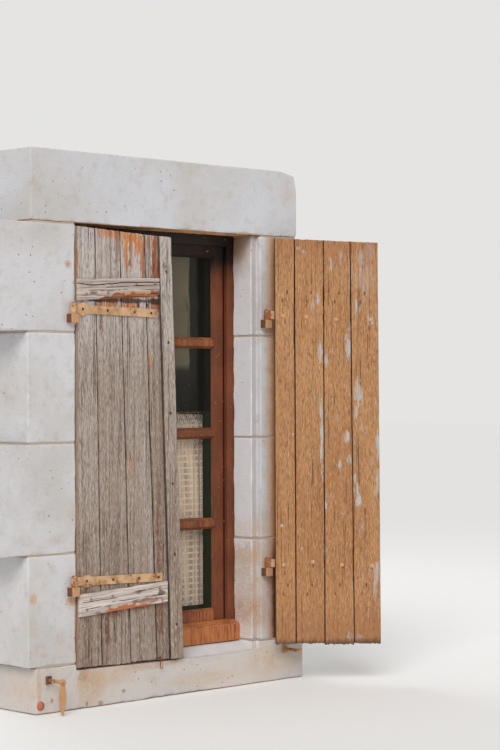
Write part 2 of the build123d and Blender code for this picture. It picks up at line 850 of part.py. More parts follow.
def pane_opening(side, row):
    """What is cut for one pane: a sloped putty bed, a groove for the glass and the hole behind."""
    low = pane_level(row)
    middle = (side * (glass_inner_x + glass_outer_x) / 2, (low + low + pane_height) / 2)
    wide = glass_outer_x - glass_inner_x
    bed = sash_front + putty_depth
    front = Plane(origin=(middle[0], sash_front, middle[1]), x_dir=(1, 0, 0), z_dir=(0, -1, 0))
    back = front.offset(-putty_depth)
    grown = Rectangle(wide + 2 * putty_width, pane_height + 2 * putty_width)
    putty = loft([front * grown, back * Rectangle(wide, pane_height)])
    groove = sided(side, glass_inner_x - glass_bite, glass_outer_x + glass_bite, bed,
                   bed + glass_thickness, low - glass_bite, low + pane_height + glass_bite)
    hole = sided(side, glass_inner_x, glass_outer_x, bed - overshoot, frame_back + overshoot,
                 low, low + pane_height)
    return putty + groove + hole


def sash_timber(name, side):
    """The whole sash is cut for its panes and then parted into stiles, rails and bars."""
    inner = meeting_gap / 2
    whole = sided(side, inner, sash_outer_x, sash_front, frame_back, sash_low, sash_high)
    for row in range(pane_rows):
        whole -= pane_opening(side, row)
    near = sash_front - overshoot
    far = frame_back + overshoot
    foot = sash_low - overshoot
    top = sash_high + overshoot

    def part(x0, x1, z0, z1):
        return whole & sided(side, x0, x1, near, far, z0, z1)

    bars = []
    for row in range(1, pane_rows):
        low = pane_level(row) - bar_height
        bars.append(part(glass_inner_x, glass_outer_x, low, low + bar_height))
    rails = [part(glass_inner_x, glass_outer_x, foot, glass_low),
             part(glass_inner_x, glass_outer_x, glass_high, top)]
    return {
        f"{name}_hinge_stile": part(glass_outer_x, sash_outer_x + overshoot, foot, top),
        f"{name}_meeting_stile": part(0, glass_inner_x, foot, top),
        f"{name}_rails": group(rails),
        f"{name}_glazing_bars": group(bars),
    }


def panes(side):
    bite = glass_bite - glass_clearance
    bed = sash_front + putty_depth
    return group([sided(side, glass_inner_x - bite, glass_outer_x + bite, bed, bed + glass_thickness,
                        pane_level(row) - bite, pane_level(row) + pane_height + bite)
                  for row in range(pane_rows)])


def hinge_levels():
    return sash_low + hinge_from_end, sash_high - hinge_from_end


def hinge_plate(side, x0, z0):
    return sided(side, x0, x0 + hinge_plate_width, frame_back, frame_back + hinge_plate_thickness,
                 z0, z0 + knuckle_height)


def frame_hinge(side, z):
    """Lower knuckle with the pin, on a plate that is screwed to the frame."""
    x = side * hinge_axis_x
    low = z - knuckle_height - eye_gap
    knuckle = rod_z(knuckle_radius, x, hinge_axis_y, low, low + knuckle_height)
    pin = rod_z(hinge_pin_radius, x, hinge_axis_y, low, z + knuckle_height - hinge_pin_top)
    return knuckle + pin + hinge_plate(side, hinge_axis_x + frame_plate_offset, low)


def sash_hinge(side, z):
    """Upper knuckle that drops over the pin, on a plate that is screwed to the sash."""
    x = side * hinge_axis_x
    knuckle = rod_z(knuckle_radius, x, hinge_axis_y, z, z + knuckle_height)
    plate = hinge_plate(side, hinge_axis_x - sash_plate_offset - hinge_plate_width, z)
    bore = rod_z(hinge_pin_radius + pin_clearance, x, hinge_axis_y, z - overshoot,
                 z + knuckle_height - hinge_bore_top)
    return knuckle + plate - bore


def curtain_rod(side):
    y = frame_back + rod_from_face
    inner = glass_inner_x - rod_bracket - rod_end
    outer = glass_outer_x + rod_bracket + rod_end
    bar = rod_x(rod_radius, side * inner, side * outer, y, rod_height)
    brackets = [sided(side, x, x + rod_bracket, frame_back, y + rod_bracket,
                      rod_height - rod_bracket, rod_height + rod_bracket)
                for x in (inner, outer - rod_bracket)]
    return bar + brackets


def curtain(side):
    """Gathered net: a wave along the rod, carried down, under a sleeve that holds the rod."""
    y = frame_back + rod_from_face
    inner = glass_inner_x + curtain_margin
    outer = glass_outer_x - curtain_margin
    count = curtain_folds * points_per_fold
    half = curtain_thickness / 2
    wave = []
    for index in range(count + 1):
        x = inner + (outer - inner) * index / count
        turn = 2 * pi * index / points_per_fold + curtain_phase
        wave.append((side * x, y + curtain_fold * sin(turn)))
    plan = [(x, depth - half) for x, depth in wave] + [(x, depth + half) for x, depth in wave[::-1]]
    inside = rod_radius + sleeve_gap
    top = rod_height - inside - half
    sheet = prism_z(plan, curtain_bottom, top)
    sleeve = rod_x(inside + curtain_thickness, side * inner, side * outer, y, rod_height)
    hollow = rod_x(inside, side * (inner - overshoot), side * (outer + overshoot), y, rod_height)
    return sheet + sleeve - hollow


def sash(name, side):
    pieces = sash_timber(name, side)
    pieces[f"{name}_panes"] = panes(side)
    pieces[f"{name}_hinges"] = group([sash_hinge(side, z) for z in hinge_levels()])
    pieces[f"{name}_curtain"] = curtain(side)
    pieces[f"{name}_curtain_rod"] = curtain_rod(side)
    return pieces


# Fastener

def bolt_bore(z0, z1):
    return rod_z(bolt_radius + bolt_clearance, bolt_x, bolt_y, z0, z1)


def holder(width, z0, z1):
    """A small block with a hole that a bolt rod runs through."""
    back = bolt_y + bolt_radius + holder_wall
    body = block(bolt_x - width / 2, bolt_x + width / 2, frame_back, back, z0, z1)
    return body - bolt_bore(z0 - overshoot, z1 + overshoot)


def fastener_keepers():
    """On the head and on the weather rail, where the bolts go in."""
    above = sash_high + keeper_gap
    below = sash_low - keeper_gap
    return group([holder(keeper_width, above, above + keeper_height),
                  holder(keeper_width, below - keeper_height, below)])


def case_ends():
    return case_middle - case_height / 2, case_middle + case_height / 2


def fastener_case():
    """Case with the bolt rods' ends inside, and the guides further along them."""
    low, high = case_ends()
    back = frame_back + case_depth
    body = block(bolt_x - case_width / 2, bolt_x + case_width / 2, frame_back, back, low, high)
    body = fillet(body.edges().filter_by(Axis.Z).group_by(Axis.Y)[-1], case_round)
    body -= bolt_bore(high - bolt_inside, high + overshoot)
    body -= bolt_bore(low - overshoot, low + bolt_inside)
    body -= rod_y(spindle_radius + pin_clearance, bolt_x, back - spindle_depth, back + overshoot,
                  case_middle)
    places = (sash_low + guide_from_end, (sash_low + low) / 2, (sash_high + high) / 2,
              sash_high - guide_from_end)
    return group([body] + [holder(guide_width, z, z + guide_height) for z in places])


def upper_bolt():
    return rod_z(bolt_radius, bolt_x, bolt_y, case_ends()[1] - bolt_inside + bolt_end_gap, sash_high)


def lower_bolt():
    return rod_z(bolt_radius, bolt_x, bolt_y, sash_low, case_ends()[0] + bolt_inside - bolt_end_gap)


def fastener_knob():
    """Spindle, neck and a round-ended grip that stands upright while the bolts are drawn back."""
    back = frame_back + case_depth
    neck_start = back + eye_gap
    spindle = rod_y(spindle_radius, bolt_x, back - spindle_depth + spindle_end_gap, neck_start,
                    case_middle)
    neck = rod_y(neck_radius, bolt_x, neck_start, back + handle_stand, case_middle)
    grip_y = back + handle_stand
    half = handle_length / 2 - handle_radius
    grip = rod_z(handle_radius, bolt_x, grip_y, case_middle - half, case_middle + half)
    ends = [Pos(bolt_x, grip_y, case_middle + aside) * Sphere(handle_radius) for aside in (-half, half)]
    return spindle + neck + grip + ends


def all_pieces():
    pieces = {
        "sill_stone": sill_stone(),
        "lintel_stone": lintel_stone(),
        "mortar": mortar(),
        "pintles": group([pintle(side, level) for side in (LEFT, RIGHT) for level in levels]),
        "sill_irons": group([holdback_arm(LEFT), holdback_arm(RIGHT), sill_boss()]),
        "holdback_tongue": holdback_tongue(),
        "left_hook": left_hook(),
        "window_head": window_head(),
        "window_weather_rail": window_weather_rail(),
        "window_hinge_pins": group([frame_hinge(side, z) for side in (LEFT, RIGHT) for z in hinge_levels()]),
        "fastener_keepers": fastener_keepers(),
        "fastener_case": fastener_case(),
        "fastener_knob": fastener_knob(),
        "upper_bolt": upper_bolt(),
        "lower_bolt": lower_bolt(),
    }
    for name, side in SIDES.items():
        for course in range(course_count):
            pieces[f"{name}_jamb_stone_{course + 1}"] = jamb_stone(side, course)
        pieces[f"window_{name}_jamb"] = window_jamb(side)
        pieces.update(leaf(name, side))
        pieces.update(sash(f"{name}_sash", side))
    return pieces


os.makedirs("parts", exist_ok=True)
to_origin = Pos(0, -stone_depth / 2, 0)
for node, shape in all_pieces().items():
    export_step(to_origin * shape, f"parts/{node}.step")
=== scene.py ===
"""Plank window shutters in a dressed-stone surround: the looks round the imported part.

Metres throughout. Outside is towards -Y, the stone's outer face is y = WALL, and z = 0 is the sill's bed.
"""
import json

import bpy
import numpy as np
from mathutils import Matrix, Vector


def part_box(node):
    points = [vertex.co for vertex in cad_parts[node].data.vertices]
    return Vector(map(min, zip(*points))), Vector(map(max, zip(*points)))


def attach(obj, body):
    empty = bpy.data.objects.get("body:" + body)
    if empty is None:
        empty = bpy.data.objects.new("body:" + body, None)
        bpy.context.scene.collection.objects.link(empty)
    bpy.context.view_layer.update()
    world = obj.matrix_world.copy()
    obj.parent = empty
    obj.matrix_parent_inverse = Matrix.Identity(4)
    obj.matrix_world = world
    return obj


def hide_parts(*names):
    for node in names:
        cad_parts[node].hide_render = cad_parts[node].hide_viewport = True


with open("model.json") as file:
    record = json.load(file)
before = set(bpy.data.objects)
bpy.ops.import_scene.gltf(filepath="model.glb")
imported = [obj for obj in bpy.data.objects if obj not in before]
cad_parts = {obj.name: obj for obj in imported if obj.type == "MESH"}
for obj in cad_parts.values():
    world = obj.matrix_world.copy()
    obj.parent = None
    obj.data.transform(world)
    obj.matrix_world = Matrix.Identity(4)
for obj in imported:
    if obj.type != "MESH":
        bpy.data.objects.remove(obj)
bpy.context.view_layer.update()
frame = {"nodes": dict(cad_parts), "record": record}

MM = 0.001
WALL = -0.140                    # the stone's outer face
DEEP = 0.280                     # the stones' depth
ARRIS = 0.472                    # half the opening
REBATE, SIGHT = 0.025, 0.447     # the leaves' rebate, and half the width inside it
SEAT, REAR = 0.130, 0.475        # how deep the window sits, and half the width behind that
SILL, LINTEL, LINTEL_TOP = 0.165, 1.765, 2.027
LINTEL_END = ARRIS + 0.206
LINTEL_REAR = 0.028              # the height of the lintel's rear rebate
CLOSED = 0.478                   # where that rebate stops, just past the window head
COURSE, BED_JOINT = 0.4, 0.006
PIN_X, PIN_Y = 0.494, WALL - 0.016
OPEN_ANGLE = {-1: 0.0, 1: 143.0}
SIDE_NAMES = {-1: "left", 1: "right"}


# Camera, light and ground

def camera():
    """The photograph's viewpoint: a long lens, low and well to the left."""
    focal, height, sensor = 2050, 750, 36.0        # pixels, pixels, millimetres
    yaw, pitch, roll = np.radians((44.5622, 0.2252, -0.1572))
    ahead = np.array([np.sin(yaw) * np.cos(pitch), np.cos(yaw) * np.cos(pitch), np.sin(pitch)])
    right = np.array([np.cos(yaw), -np.sin(yaw), 0.0])
    up = np.cross(right, ahead)
    c, s = np.cos(roll), np.sin(roll)
    right, up = c * right + s * up, c * up - s * right
    data = bpy.data.cameras.new("camera")
    data.sensor_width = sensor
    data.lens = focal * sensor / height
    data.clip_start = 0.05
    data.clip_end = 200.0
    eye = bpy.data.objects.new("camera", data)
    bpy.context.collection.objects.link(eye)
    turn = Matrix(np.stack([right, up, -ahead], axis=1).tolist()).to_4x4()
    eye.matrix_world = Matrix.Translation((-5.2348, -5.8759, 1.1818)) @ turn
    bpy.context.scene.camera = eye


def shine(name, kind, direction, **settings):
    """A light that shines along direction, with its data's settings."""
    data = bpy.data.lights.new(name, kind)
    for key, value in settings.items():
        setattr(data, key, value)
    light = bpy.data.objects.new(name, data)
    bpy.context.collection.objects.link(light)
    light.rotation_euler = direction.to_track_quat("-Z", "Y").to_euler()
    return light


def softbox(name, place, target, size, power):
    light = shine(name, "AREA", Vector(target) - Vector(place), shape="RECTANGLE",
                  size=size[0], size_y=size[1], energy=power)
    light.location = place


camera()
shine("soft_sun", "SUN", Vector((4.6, 3.9, -4.4)), energy=2.1, angle=np.radians(34))
softbox("side_softbox", (4.5, -5.0, 2.6), (0.2, 0.0, 0.9), (3.0, 3.0), 25)
softbox("back_softbox", (1.0, 5.0, 4.0), (0.0, 0.0, 1.0), (3.5, 2.5), 90)


# Shader sheets

def linear(colour):
    """Display colour 0..255 to the shader's linear colour."""
    value = np.asarray(colour, dtype=float) / 255
    out = np.where(value <= 0.04045, value / 12.92, ((value + 0.055) / 1.055) ** 2.4)
    return (*out.tolist(), 1.0)


def operator(kind):
    """The methods of one Math node: its operator, and the reflected form, as in 1 - mask."""
    return (lambda self, other: self.math(kind, self, other)), (lambda self, other: self.math(kind, other, self))


class Value:
    """A number in a shader: Python arithmetic on it adds Math nodes."""

    def __init__(self, sheet, out):
        self.sheet, self.out = sheet, out

    def math(self, kind, *values, clamp=False):
        node = self.sheet.node("ShaderNodeMath", {"operation": kind, "use_clamp": clamp},
                               **{str(i): v for i, v in enumerate(values)})
        return Value(self.sheet, node.outputs[0])

    __add__, __radd__ = operator("ADD")
    __sub__, __rsub__ = operator("SUBTRACT")
    __mul__, __rmul__ = operator("MULTIPLY")
    __truediv__ = operator("DIVIDE")[0]
    __pow__ = operator("POWER")[0]
    most = operator("MAXIMUM")[0]

    def __abs__(self):
        return self.math("ABSOLUTE", self)

    def held(self):
        """Kept between 0 and 1."""
        return self.math("ADD", self, 0.0, clamp=True)

    def step(self, low, high):
        """0 below low, 1 above high, smooth between. low may be above high."""
        node = self.sheet.node("ShaderNodeMapRange", {"interpolation_type": "SMOOTHSTEP"},
                               Value=self, **{"From Min": low, "From Max": high})
        return Value(self.sheet, node.outputs[0])


class Sheet:
    def __init__(self, name, world=None):
        self.material = world or bpy.data.materials.new(name)
        self.material.use_nodes = True
        self.tree = self.material.node_tree
        self.tree.nodes.clear()
        self.coordinates = self.node("ShaderNodeTexCoord").outputs
        self.place = self.coordinates["Object"]
        self.colour = None

    def node(self, kind, settings=None, **sockets):
        """Adds a node: its settings first, then each socket, by name or number, as a value or a link."""
        made = self.tree.nodes.new(kind)
        for key, value in (settings or {}).items():
            if key == "stops":
                self.ramp_stops(made, value)
            else:
                setattr(made, key, value)
        for key, value in sockets.items():
            spot = made.inputs[int(key)] if key.isdigit() else made.inputs[key]
            self.feed(spot, value)
        return made

    def feed(self, spot, value):
        value = value.out if isinstance(value, Value) else value
        if isinstance(value, bpy.types.NodeSocket):
            self.tree.links.new(value, spot)
        else:
            spot.default_value = value

    def ramp_stops(self, made, stops):
        ramp = made.color_ramp
        while len(ramp.elements) < len(stops):
            ramp.elements.new(0.5)
        for element, (where, colour) in zip(ramp.elements, stops):
            element.position = where
            element.color = linear(colour)

    def axes(self, vector=None):
        parts = self.node("ShaderNodeSeparateXYZ", Vector=vector or self.place)
        return [Value(self, out) for out in parts.outputs]

    def uv(self):
        return self.node("ShaderNodeUVMap", {"uv_map": "place"}).outputs["UV"]

    def stretched(self, scale, vector=None, shift=(0, 0, 0)):
        """The pattern's place, scaled on each axis, so grain runs along the small one."""
        return self.node("ShaderNodeMapping", Vector=vector or self.place, Scale=scale, Location=shift).outputs[0]

    def marked(self, name):
        """A number kept at each point of the piece, such as how near it is to an edge."""
        return Value(self, self.node("ShaderNodeAttribute", {"attribute_name": name}).outputs["Fac"])

    def moved(self, *shift):
        return self.stretched((1, 1, 1), shift=shift)

    def noise(self, scale, vector=None, detail=4.0, rough=0.55, warp=0.0):
        made = self.node("ShaderNodeTexNoise", Vector=vector or self.place, Scale=scale, Detail=detail,
                         Roughness=rough, Distortion=warp)
        return Value(self, made.outputs["Fac"])

    def grain(self, scale, detail=4.0, rough=0.55, warp=0.0, vector=None, shift=(0, 0, 0)):
        """Noise with its own scale on each axis."""
        return self.noise(1.0, self.stretched(scale, vector, shift), detail, rough, warp)

    def cells(self, scale, vector):
        """The distance to the nearest of the points strewn at a scale."""
        return Value(self, self.node("ShaderNodeTexVoronoi", Vector=vector, Scale=scale).outputs["Distance"])

    def ramp(self, value, *stops):
        return self.node("ShaderNodeValToRGB", {"stops": stops}, Fac=value).outputs[0]

    def mix(self, amount, below, above, kind="MIX"):
        """Colour above laid on colour below by amount."""
        made = self.node("ShaderNodeMix", {"data_type": "RGBA", "blend_type": kind})
        self.feed(made.inputs[0], amount)
        for spot, colour in ((made.inputs[6], below), (made.inputs[7], above)):
            self.feed(spot, linear(colour) if isinstance(colour, tuple) and len(colour) == 3 else colour)
        return made.outputs[2]

    def lay(self, amount, above):
        """Lays a colour over the sheet's own by amount."""
        self.colour = self.mix(amount, self.colour, above)

    def lay_all(self, *layers):
        """Lays each colour by strength where its value steps from low to high."""
        for value, low, high, strength, colour in layers:
            self.lay(value.step(low, high) * strength, colour)

    def finish(self, rough=0.8, height=None, depth=0.001, gloss=0.5, metal=0.0, alpha=1.0, sheen=0.0):
        """Joins colour, roughness and bump to the surface."""
        colour = linear(self.colour) if isinstance(self.colour, tuple) else self.colour
        shader = self.node("ShaderNodeBsdfPrincipled", Roughness=rough, Metallic=metal, Alpha=alpha, **{
            "Base Color": colour, "Specular IOR Level": gloss, "Sheen Weight": sheen})
        if height is not None:
            bump = self.node("ShaderNodeBump", Height=height, Distance=depth, Strength=1.0)
            self.feed(shader.inputs["Normal"], bump.outputs[0])
        self.node("ShaderNodeOutputMaterial", Surface=shader.outputs[0])
        return self.material


# Materials

def wood_grain(sheet, seed):
    """Fine fibres, broad streaks, long checks and short specks: noises drawn out along z."""
    shift = (seed * 1.37, seed * 2.11, seed * 0.73)
    fine = sheet.grain((420, 420, 9), 5, 0.62, shift=shift)
    streak = sheet.grain((95, 95, 2.4), 4, 0.6, 0.35, shift=shift)
    checks = sheet.grain((210, 210, 3.2), 2, 0.5, 0.2, shift=shift)
    specks = sheet.grain((310, 310, 46), 3, 0.6, shift=shift)
    return fine, streak, checks, specks


def patch(u, v, spot, ragged, swing=2.6):
    """A ragged patch: 1 within an ellipse of a middle and two half widths in mm, its edge shifted by a noise."""
    u0, v0, wide, tall = np.multiply(spot, MM).tolist()
    away = ((((u - u0) / wide) ** 2.0) + (((v - v0) / tall) ** 2.0)) ** 0.5
    return (away + (ragged - 0.5) * swing).step(1.10, 0.70)


def bare_wood(name, seed, warm=0.0, spots=(), rust=(), edge=None, batten_shadow=()):
    """Grey, weathered softwood with remains of orange paint in spots and rust below nails."""
    sheet = Sheet(name)
    u, v, _ = sheet.axes(sheet.uv())
    _, _, z = sheet.axes()
    fine, streak, checks, specks = wood_grain(sheet, seed)
    broad = sheet.noise(2.6, sheet.stretched((1, 1, 0.35), shift=(seed, 0, 0)), 3)
    lie = z.step(1.52, 1.15) * 0.45 + z.step(1.1, 0.4) * 0.12 + broad * 0.55 + warm - 0.06
    sheet.colour = sheet.mix(lie.held(), (204, 196, 191), (143, 122, 103))
    sheet.lay_all(
        (streak, 0.48, 0.66, 0.70, (112, 93, 80)),
        (streak, 0.42, 0.26, 0.50, (206, 198, 189)),
        (fine, 0.50, 0.68, 0.6, (92, 76, 66)),
        (specks, 0.52, 0.64, 0.6, (94, 76, 64)),
        (specks, 0.46, 0.34, 0.4, (212, 204, 196)),
        (checks, 0.645, 0.69, 0.85, (52, 42, 37)))
    knots = sheet.cells(1.0, sheet.stretched((9.0, 9.0, 2.6), shift=(seed * 0.61, 0.2, seed * 0.37)))
    sheet.lay(knots.step(0.10, 0.055) * 0.75, (88, 66, 52))
    broken = sheet.grain((150, 150, 17), 5, 0.65)
    for spot in spots:
        mark = patch(u, v, spot[:4], broken, 4.2) * fine.step(0.64, 0.50)
        coat = sheet.mix(streak.step(0.38, 0.62), spot[5] if len(spot) > 5 else (208, 136, 72), (164, 90, 42))
        coat = sheet.mix(specks.step(0.50, 0.64) * 0.6, coat, (112, 62, 36))
        sheet.lay(mark * spot[4], coat)
    for spot in rust:
        mark = patch(u, v, spot, broken, 3.6)
        sheet.lay(mark * (specks.step(0.36, 0.60) * 0.5 + 0.35), (112, 74, 54))
    # Painted shadow: dark patches under the upper batten's torn lower edge.
    for spot in batten_shadow:
        sheet.lay(patch(u, v, spot, broken, 1.8) * 0.88, (54, 39, 31))
    if edge:
        sheet.lay((u + (broken - 0.5) * 0.006).step(0.0095, 0.0045) * 0.65, edge)
    # Painted shade in the gaps between boards and in the cracks.
    hollow = (sheet.marked("hollow") + (fine - 0.5) * 0.5).step(0.45, 0.95)
    sheet.lay(hollow * 0.88, (58, 44, 36))
    height = fine * 0.35 + streak * 0.5 + specks * 0.25 - checks.step(0.64, 0.70) * 0.9
    return sheet.finish(fine.step(0.2, 0.8) * 0.12 + 0.80, height, 0.0018, gloss=0.25)


def ochre_wood(name, seed, flakes=(), pale=0.0):
    """Ochre paint worn thin over the grain, with blue-grey flakes of an older coat and a dark wet foot."""
    sheet = Sheet(name)
    u, v, _ = sheet.axes(sheet.uv())
    fine, streak, checks, specks = wood_grain(sheet, seed)
    broad = sheet.noise(3.1, sheet.stretched((1, 1, 0.3), shift=(seed, 0, 0)), 3)
    sheet.colour = sheet.mix(broad.step(0.32, 0.68), (180, 134, 91), (162, 113, 72))
    sheet.lay_all(
        (streak, 0.50, 0.68, 0.45, (142, 97, 61)),
        (streak, 0.42, 0.28, 0.45, (198, 158, 118)),
        (fine, 0.52, 0.70, 0.5, (116, 77, 48)),
        (specks, 0.53, 0.64, 0.65, (104, 66, 40)),
        (specks, 0.45, 0.33, 0.45, (212, 172, 128)),
        (checks, 0.665, 0.70, 0.85, (62, 41, 28)))
    broken = sheet.grain((170, 170, 40), 5, 0.65)
    dry = sheet.grain((55, 55, 11), 5, 0.66, shift=(seed, 0, 0))
    old = sheet.mix(fine.step(0.42, 0.62), (182, 176, 172), (158, 142, 126))
    spread = (dry + (specks - 0.5) * 0.35 + pale * 0.05).step(0.665, 0.70)
    sheet.lay(spread * 0.8, old)
    for spot in flakes:
        strength = spot[4] if len(spot) > 4 else 0.95
        mark = patch(u, v, spot[:4], broken, 3.4) * fine.step(0.68, 0.54)
        sheet.lay(mark * strength, old)
    wet = (v + (broad - 0.5) * 0.25).step(0.36, 0.19) * 0.45
    sheet.lay(wet.most(v.step(1.60, 1.74) * 0.35), (142, 92, 60))
    foot = (v + (broken - 0.5) * 0.05).step(0.180, 0.155)
    sheet.lay(foot * 0.8, (76, 54, 42))
    # Painted shade in the gaps between boards and in the cracks.
    hollow = (sheet.marked("hollow") + (fine - 0.5) * 0.5).step(0.45, 0.95)
    sheet.lay(hollow * 0.88, (66, 42, 28))
    height = fine * 0.3 + streak * 0.4 + specks * 0.25 - checks.step(0.65, 0.70) * 0.9 + spread * 0.25
    return sheet.finish(0.72 + spread * 0.1, height, 0.0015, gloss=0.3)


def limestone(name, seed, stains=(), foot=0.0, edge_shade=None, under=None, tint=(206, 205, 207), top_brown=False,
              rust_and_leaf_shade=False):
    """Pale dressed limestone: tool marks, pits, soft grey clouds, lichen and ochre stains.

    foot adds ochre, edge_shade is (low, high, colour) for painted shade along a bottom edge, under tints the
    soffit and lays it brighter, as painted light in its shade, soot lays a brown on the inner top of a reveal,
    stronger further in, and rub is the rust that an open leaf leaves beside the arris, with painted shade in
    the wedge between the leaf and the wall.
    """
    sheet = Sheet(name)
    x, y, z = sheet.axes()
    cloud = sheet.noise(2.3, sheet.moved(seed * 3.1, 0, seed), 5, 0.6)
    grit = sheet.noise(150, detail=4, rough=0.7)
    mottle = sheet.noise(24, sheet.moved(0, seed, 0), 5, 0.65)
    pits = sheet.cells(38, sheet.moved(seed, 0, 0))
    thin = sheet.noise(9, detail=3)
    ragged = mottle * 0.5 + grit * 0.5
    sandy = (grit * 0.6 + mottle * 0.4).step(0.40, 0.62)
    sheet.colour = sheet.mix(cloud.step(0.36, 0.66), tint, (192, 188, 185))
    sheet.lay_all(
        (mottle, 0.48, 0.72, 0.40, (178, 170, 163)),
        (grit, 0.58, 0.78, 0.45, (146, 134, 122)),
        (grit, 0.42, 0.26, 0.40, (224, 223, 224)))
    ochre = (cloud * 0.5 + mottle * 0.5).step(0.55, 0.68) * (sandy * 0.6 + 0.4)
    sheet.lay(ochre * (0.22 + foot), (188, 160, 130))
    turned, _, lifted = sheet.axes(sheet.coordinates["Normal"])
    aside = abs(turned).step(0.45, 0.75)
    within = (y - WALL).step(0.004, 0.02) * abs(x).step(ARRIS + 0.002, ARRIS)
    # Painted light: the reveal's side faces inside the opening are laid lighter.
    inner = within * aside
    sheet.lay(inner * 0.68, (230, 228, 230))
    ledge = within * (1 - aside) * (y - WALL).step(0.04, 0.03)
    ledge = ledge * z.step(SILL, SILL + 0.004) * z.step(LINTEL + 0.05, LINTEL + 0.02)
    sheet.lay(ledge * 0.55, (166, 158, 154))
    # Painted light: upward faces of the sill's wash are laid lighter, as lit from above.
    wash = lifted.step(0.6, 0.9) * z.step(SILL - 0.05, SILL - 0.03) * z.step(SILL + 0.004, SILL + 0.001)
    sheet.lay(wash * 0.45, (214, 216, 222))
    hole = pits.step(0.115, 0.07) * thin.step(0.50, 0.60)
    sheet.lay(hole * 0.8, (112, 82, 60))
    for *spot, strength, colour in stains:
        mark = patch(x, z, spot, ragged, 4.0)
        sheet.lay(mark * (sandy * 0.65 + 0.35) * strength, colour)
    # A brown laid on the reveal's inner face, strongest towards the lintel and deeper in.
    if top_brown:
        high = (z + (mottle - 0.5) * 0.06).step(LINTEL - 0.20, LINTEL - 0.02)
        deep = (y - WALL + (mottle - 0.5) * 0.05).step(-0.01, 0.12)
        sheet.lay((high * (deep * 0.8 + 0.2)).held() * inner * 0.9, (158, 118, 82))
    # Rust beside the arris, and painted shade in the wedge between the open leaf and the wall, darkest low down.
    if rust_and_leaf_shade:
        near = (x + (ragged - 0.5) * 0.05).step(ARRIS + 0.012, ARRIS + 0.070)
        leaf_shade_and_rust = (x + (ragged - 0.5) * 0.03).step(ARRIS + 0.052, ARRIS + 0.078)
        low = z.step(0.60, 0.44)
        front = (y - WALL).step(0.006, 0.002) * (x + (ragged - 0.5) * 0.06).step(ARRIS + 0.130, ARRIS + 0.085)
        sheet.lay(near * front * 0.85, sheet.mix(low, (192, 146, 104), (166, 106, 66)))
        sheet.lay(leaf_shade_and_rust * front * (low * 0.35 + 0.60), sheet.mix(low, (140, 88, 54), (58, 34, 26)))
    # The soffit's orange-brown, laid brighter than its own tone: part stain, part painted light in its shade.
    if under:
        below = (z + (mottle - 0.5) * 0.006).step(LINTEL + 0.006, LINTEL + 0.002)
        sheet.lay(below * (y - WALL).step(0.003, 0.008) * 0.85, under)
    # Painted shade along a stone's bottom edge: the lintel's lower arris and the sill's foot.
    if edge_shade:
        low, high, colour = edge_shade
        sheet.lay((z + (mottle - 0.5) * 0.010).step(high, low) * 0.8, colour)
    tool = sheet.grain((18, 18, 130), 3)
    height = grit * 0.45 + mottle * 0.7 + tool * 0.35 - hole * 1.4
    return sheet.finish(0.90, height, 0.0022, gloss=0.2)


def lime_mortar():
    sheet = Sheet("lime_mortar")
    grit = sheet.noise(170, detail=5, rough=0.7)
    cloud = sheet.noise(11, detail=3)
    sheet.colour = sheet.mix(cloud, (170, 146, 124), (204, 188, 170))
    sheet.lay(grit.step(0.55, 0.75) * 0.6, (104, 82, 64))
    _, _, z = sheet.axes()
    plugs = [abs(z - level).step(0.050, 0.042) for level in (1.43, 0.45)]
    sheet.lay(plugs[0].most(plugs[1]) * 0.9, sheet.mix(grit, (214, 210, 208), (190, 184, 180)))
    return sheet.finish(0.95, grit + cloud, 0.002, gloss=0.15)


def window_paint(name, light=0.0, gap_shade=None, dim=None):
    """Red-brown window paint, worn to orange by light, and painted black with shade at the head.

    seam is the half width beyond which the gap by the frame gets painted shade, and dim the height below which a part
    is in painted shade.
    """
    sheet = Sheet(name)
    fine = sheet.grain((160, 160, 12), 4, 0.6)
    broad = sheet.noise(6.5, sheet.stretched((1, 1, 0.6)), 4)
    specks = sheet.grain((260, 260, 60), 4, 0.65)
    sheet.colour = sheet.mix(broad.step(0.35, 0.7), (126, 70, 43), (99, 53, 32))
    sheet.lay_all(
        (fine, 0.50, 0.70, 0.6, (70, 36, 24)),
        (specks, 0.55, 0.68, 0.5, (60, 32, 22)))
    worn = (broad * 0.5 + fine * 0.5).step(0.56 - light * 0.13, 0.66 - light * 0.09)
    sheet.lay((worn * (0.32 + light * 0.45)).held(), (190, 118, 70))
    x, _, z = sheet.axes()
    if dim:
        sheet.lay(z.step(dim + 0.03, dim - 0.03) * 0.20, (62, 34, 24))
    # Painted shade: the head, deep in the reveal, is laid near black.
    head_shade = (z + (broad - 0.5) * 0.10).step(1.585, 1.680)
    sheet.lay(head_shade * 0.97, (26, 19, 16))
    # Painted shade in the gap between the stile and the frame's lip.
    if gap_shade:
        sheet.lay(abs(x).step(gap_shade - 0.004, gap_shade) * 0.95, (20, 15, 13))
    chips = sheet.noise(75, detail=4).step(0.69, 0.72)
    sheet.lay(chips * 0.6, (200, 160, 124))
    return sheet.finish(0.55 + worn * 0.25, fine + broad * 0.4 + specks * 0.4 - chips, 0.0009, gloss=0.3)


def by_eye(sheet, reach):
    """1 within reach of a pintle's axis, at either side, fading to 0."""
    x, y, _ = sheet.axes()
    aside = abs(x) - PIN_X
    away = (aside * aside + (y - PIN_Y) * (y - PIN_Y)) ** 0.5
    return away.step(reach * 1.25, reach * 0.8)


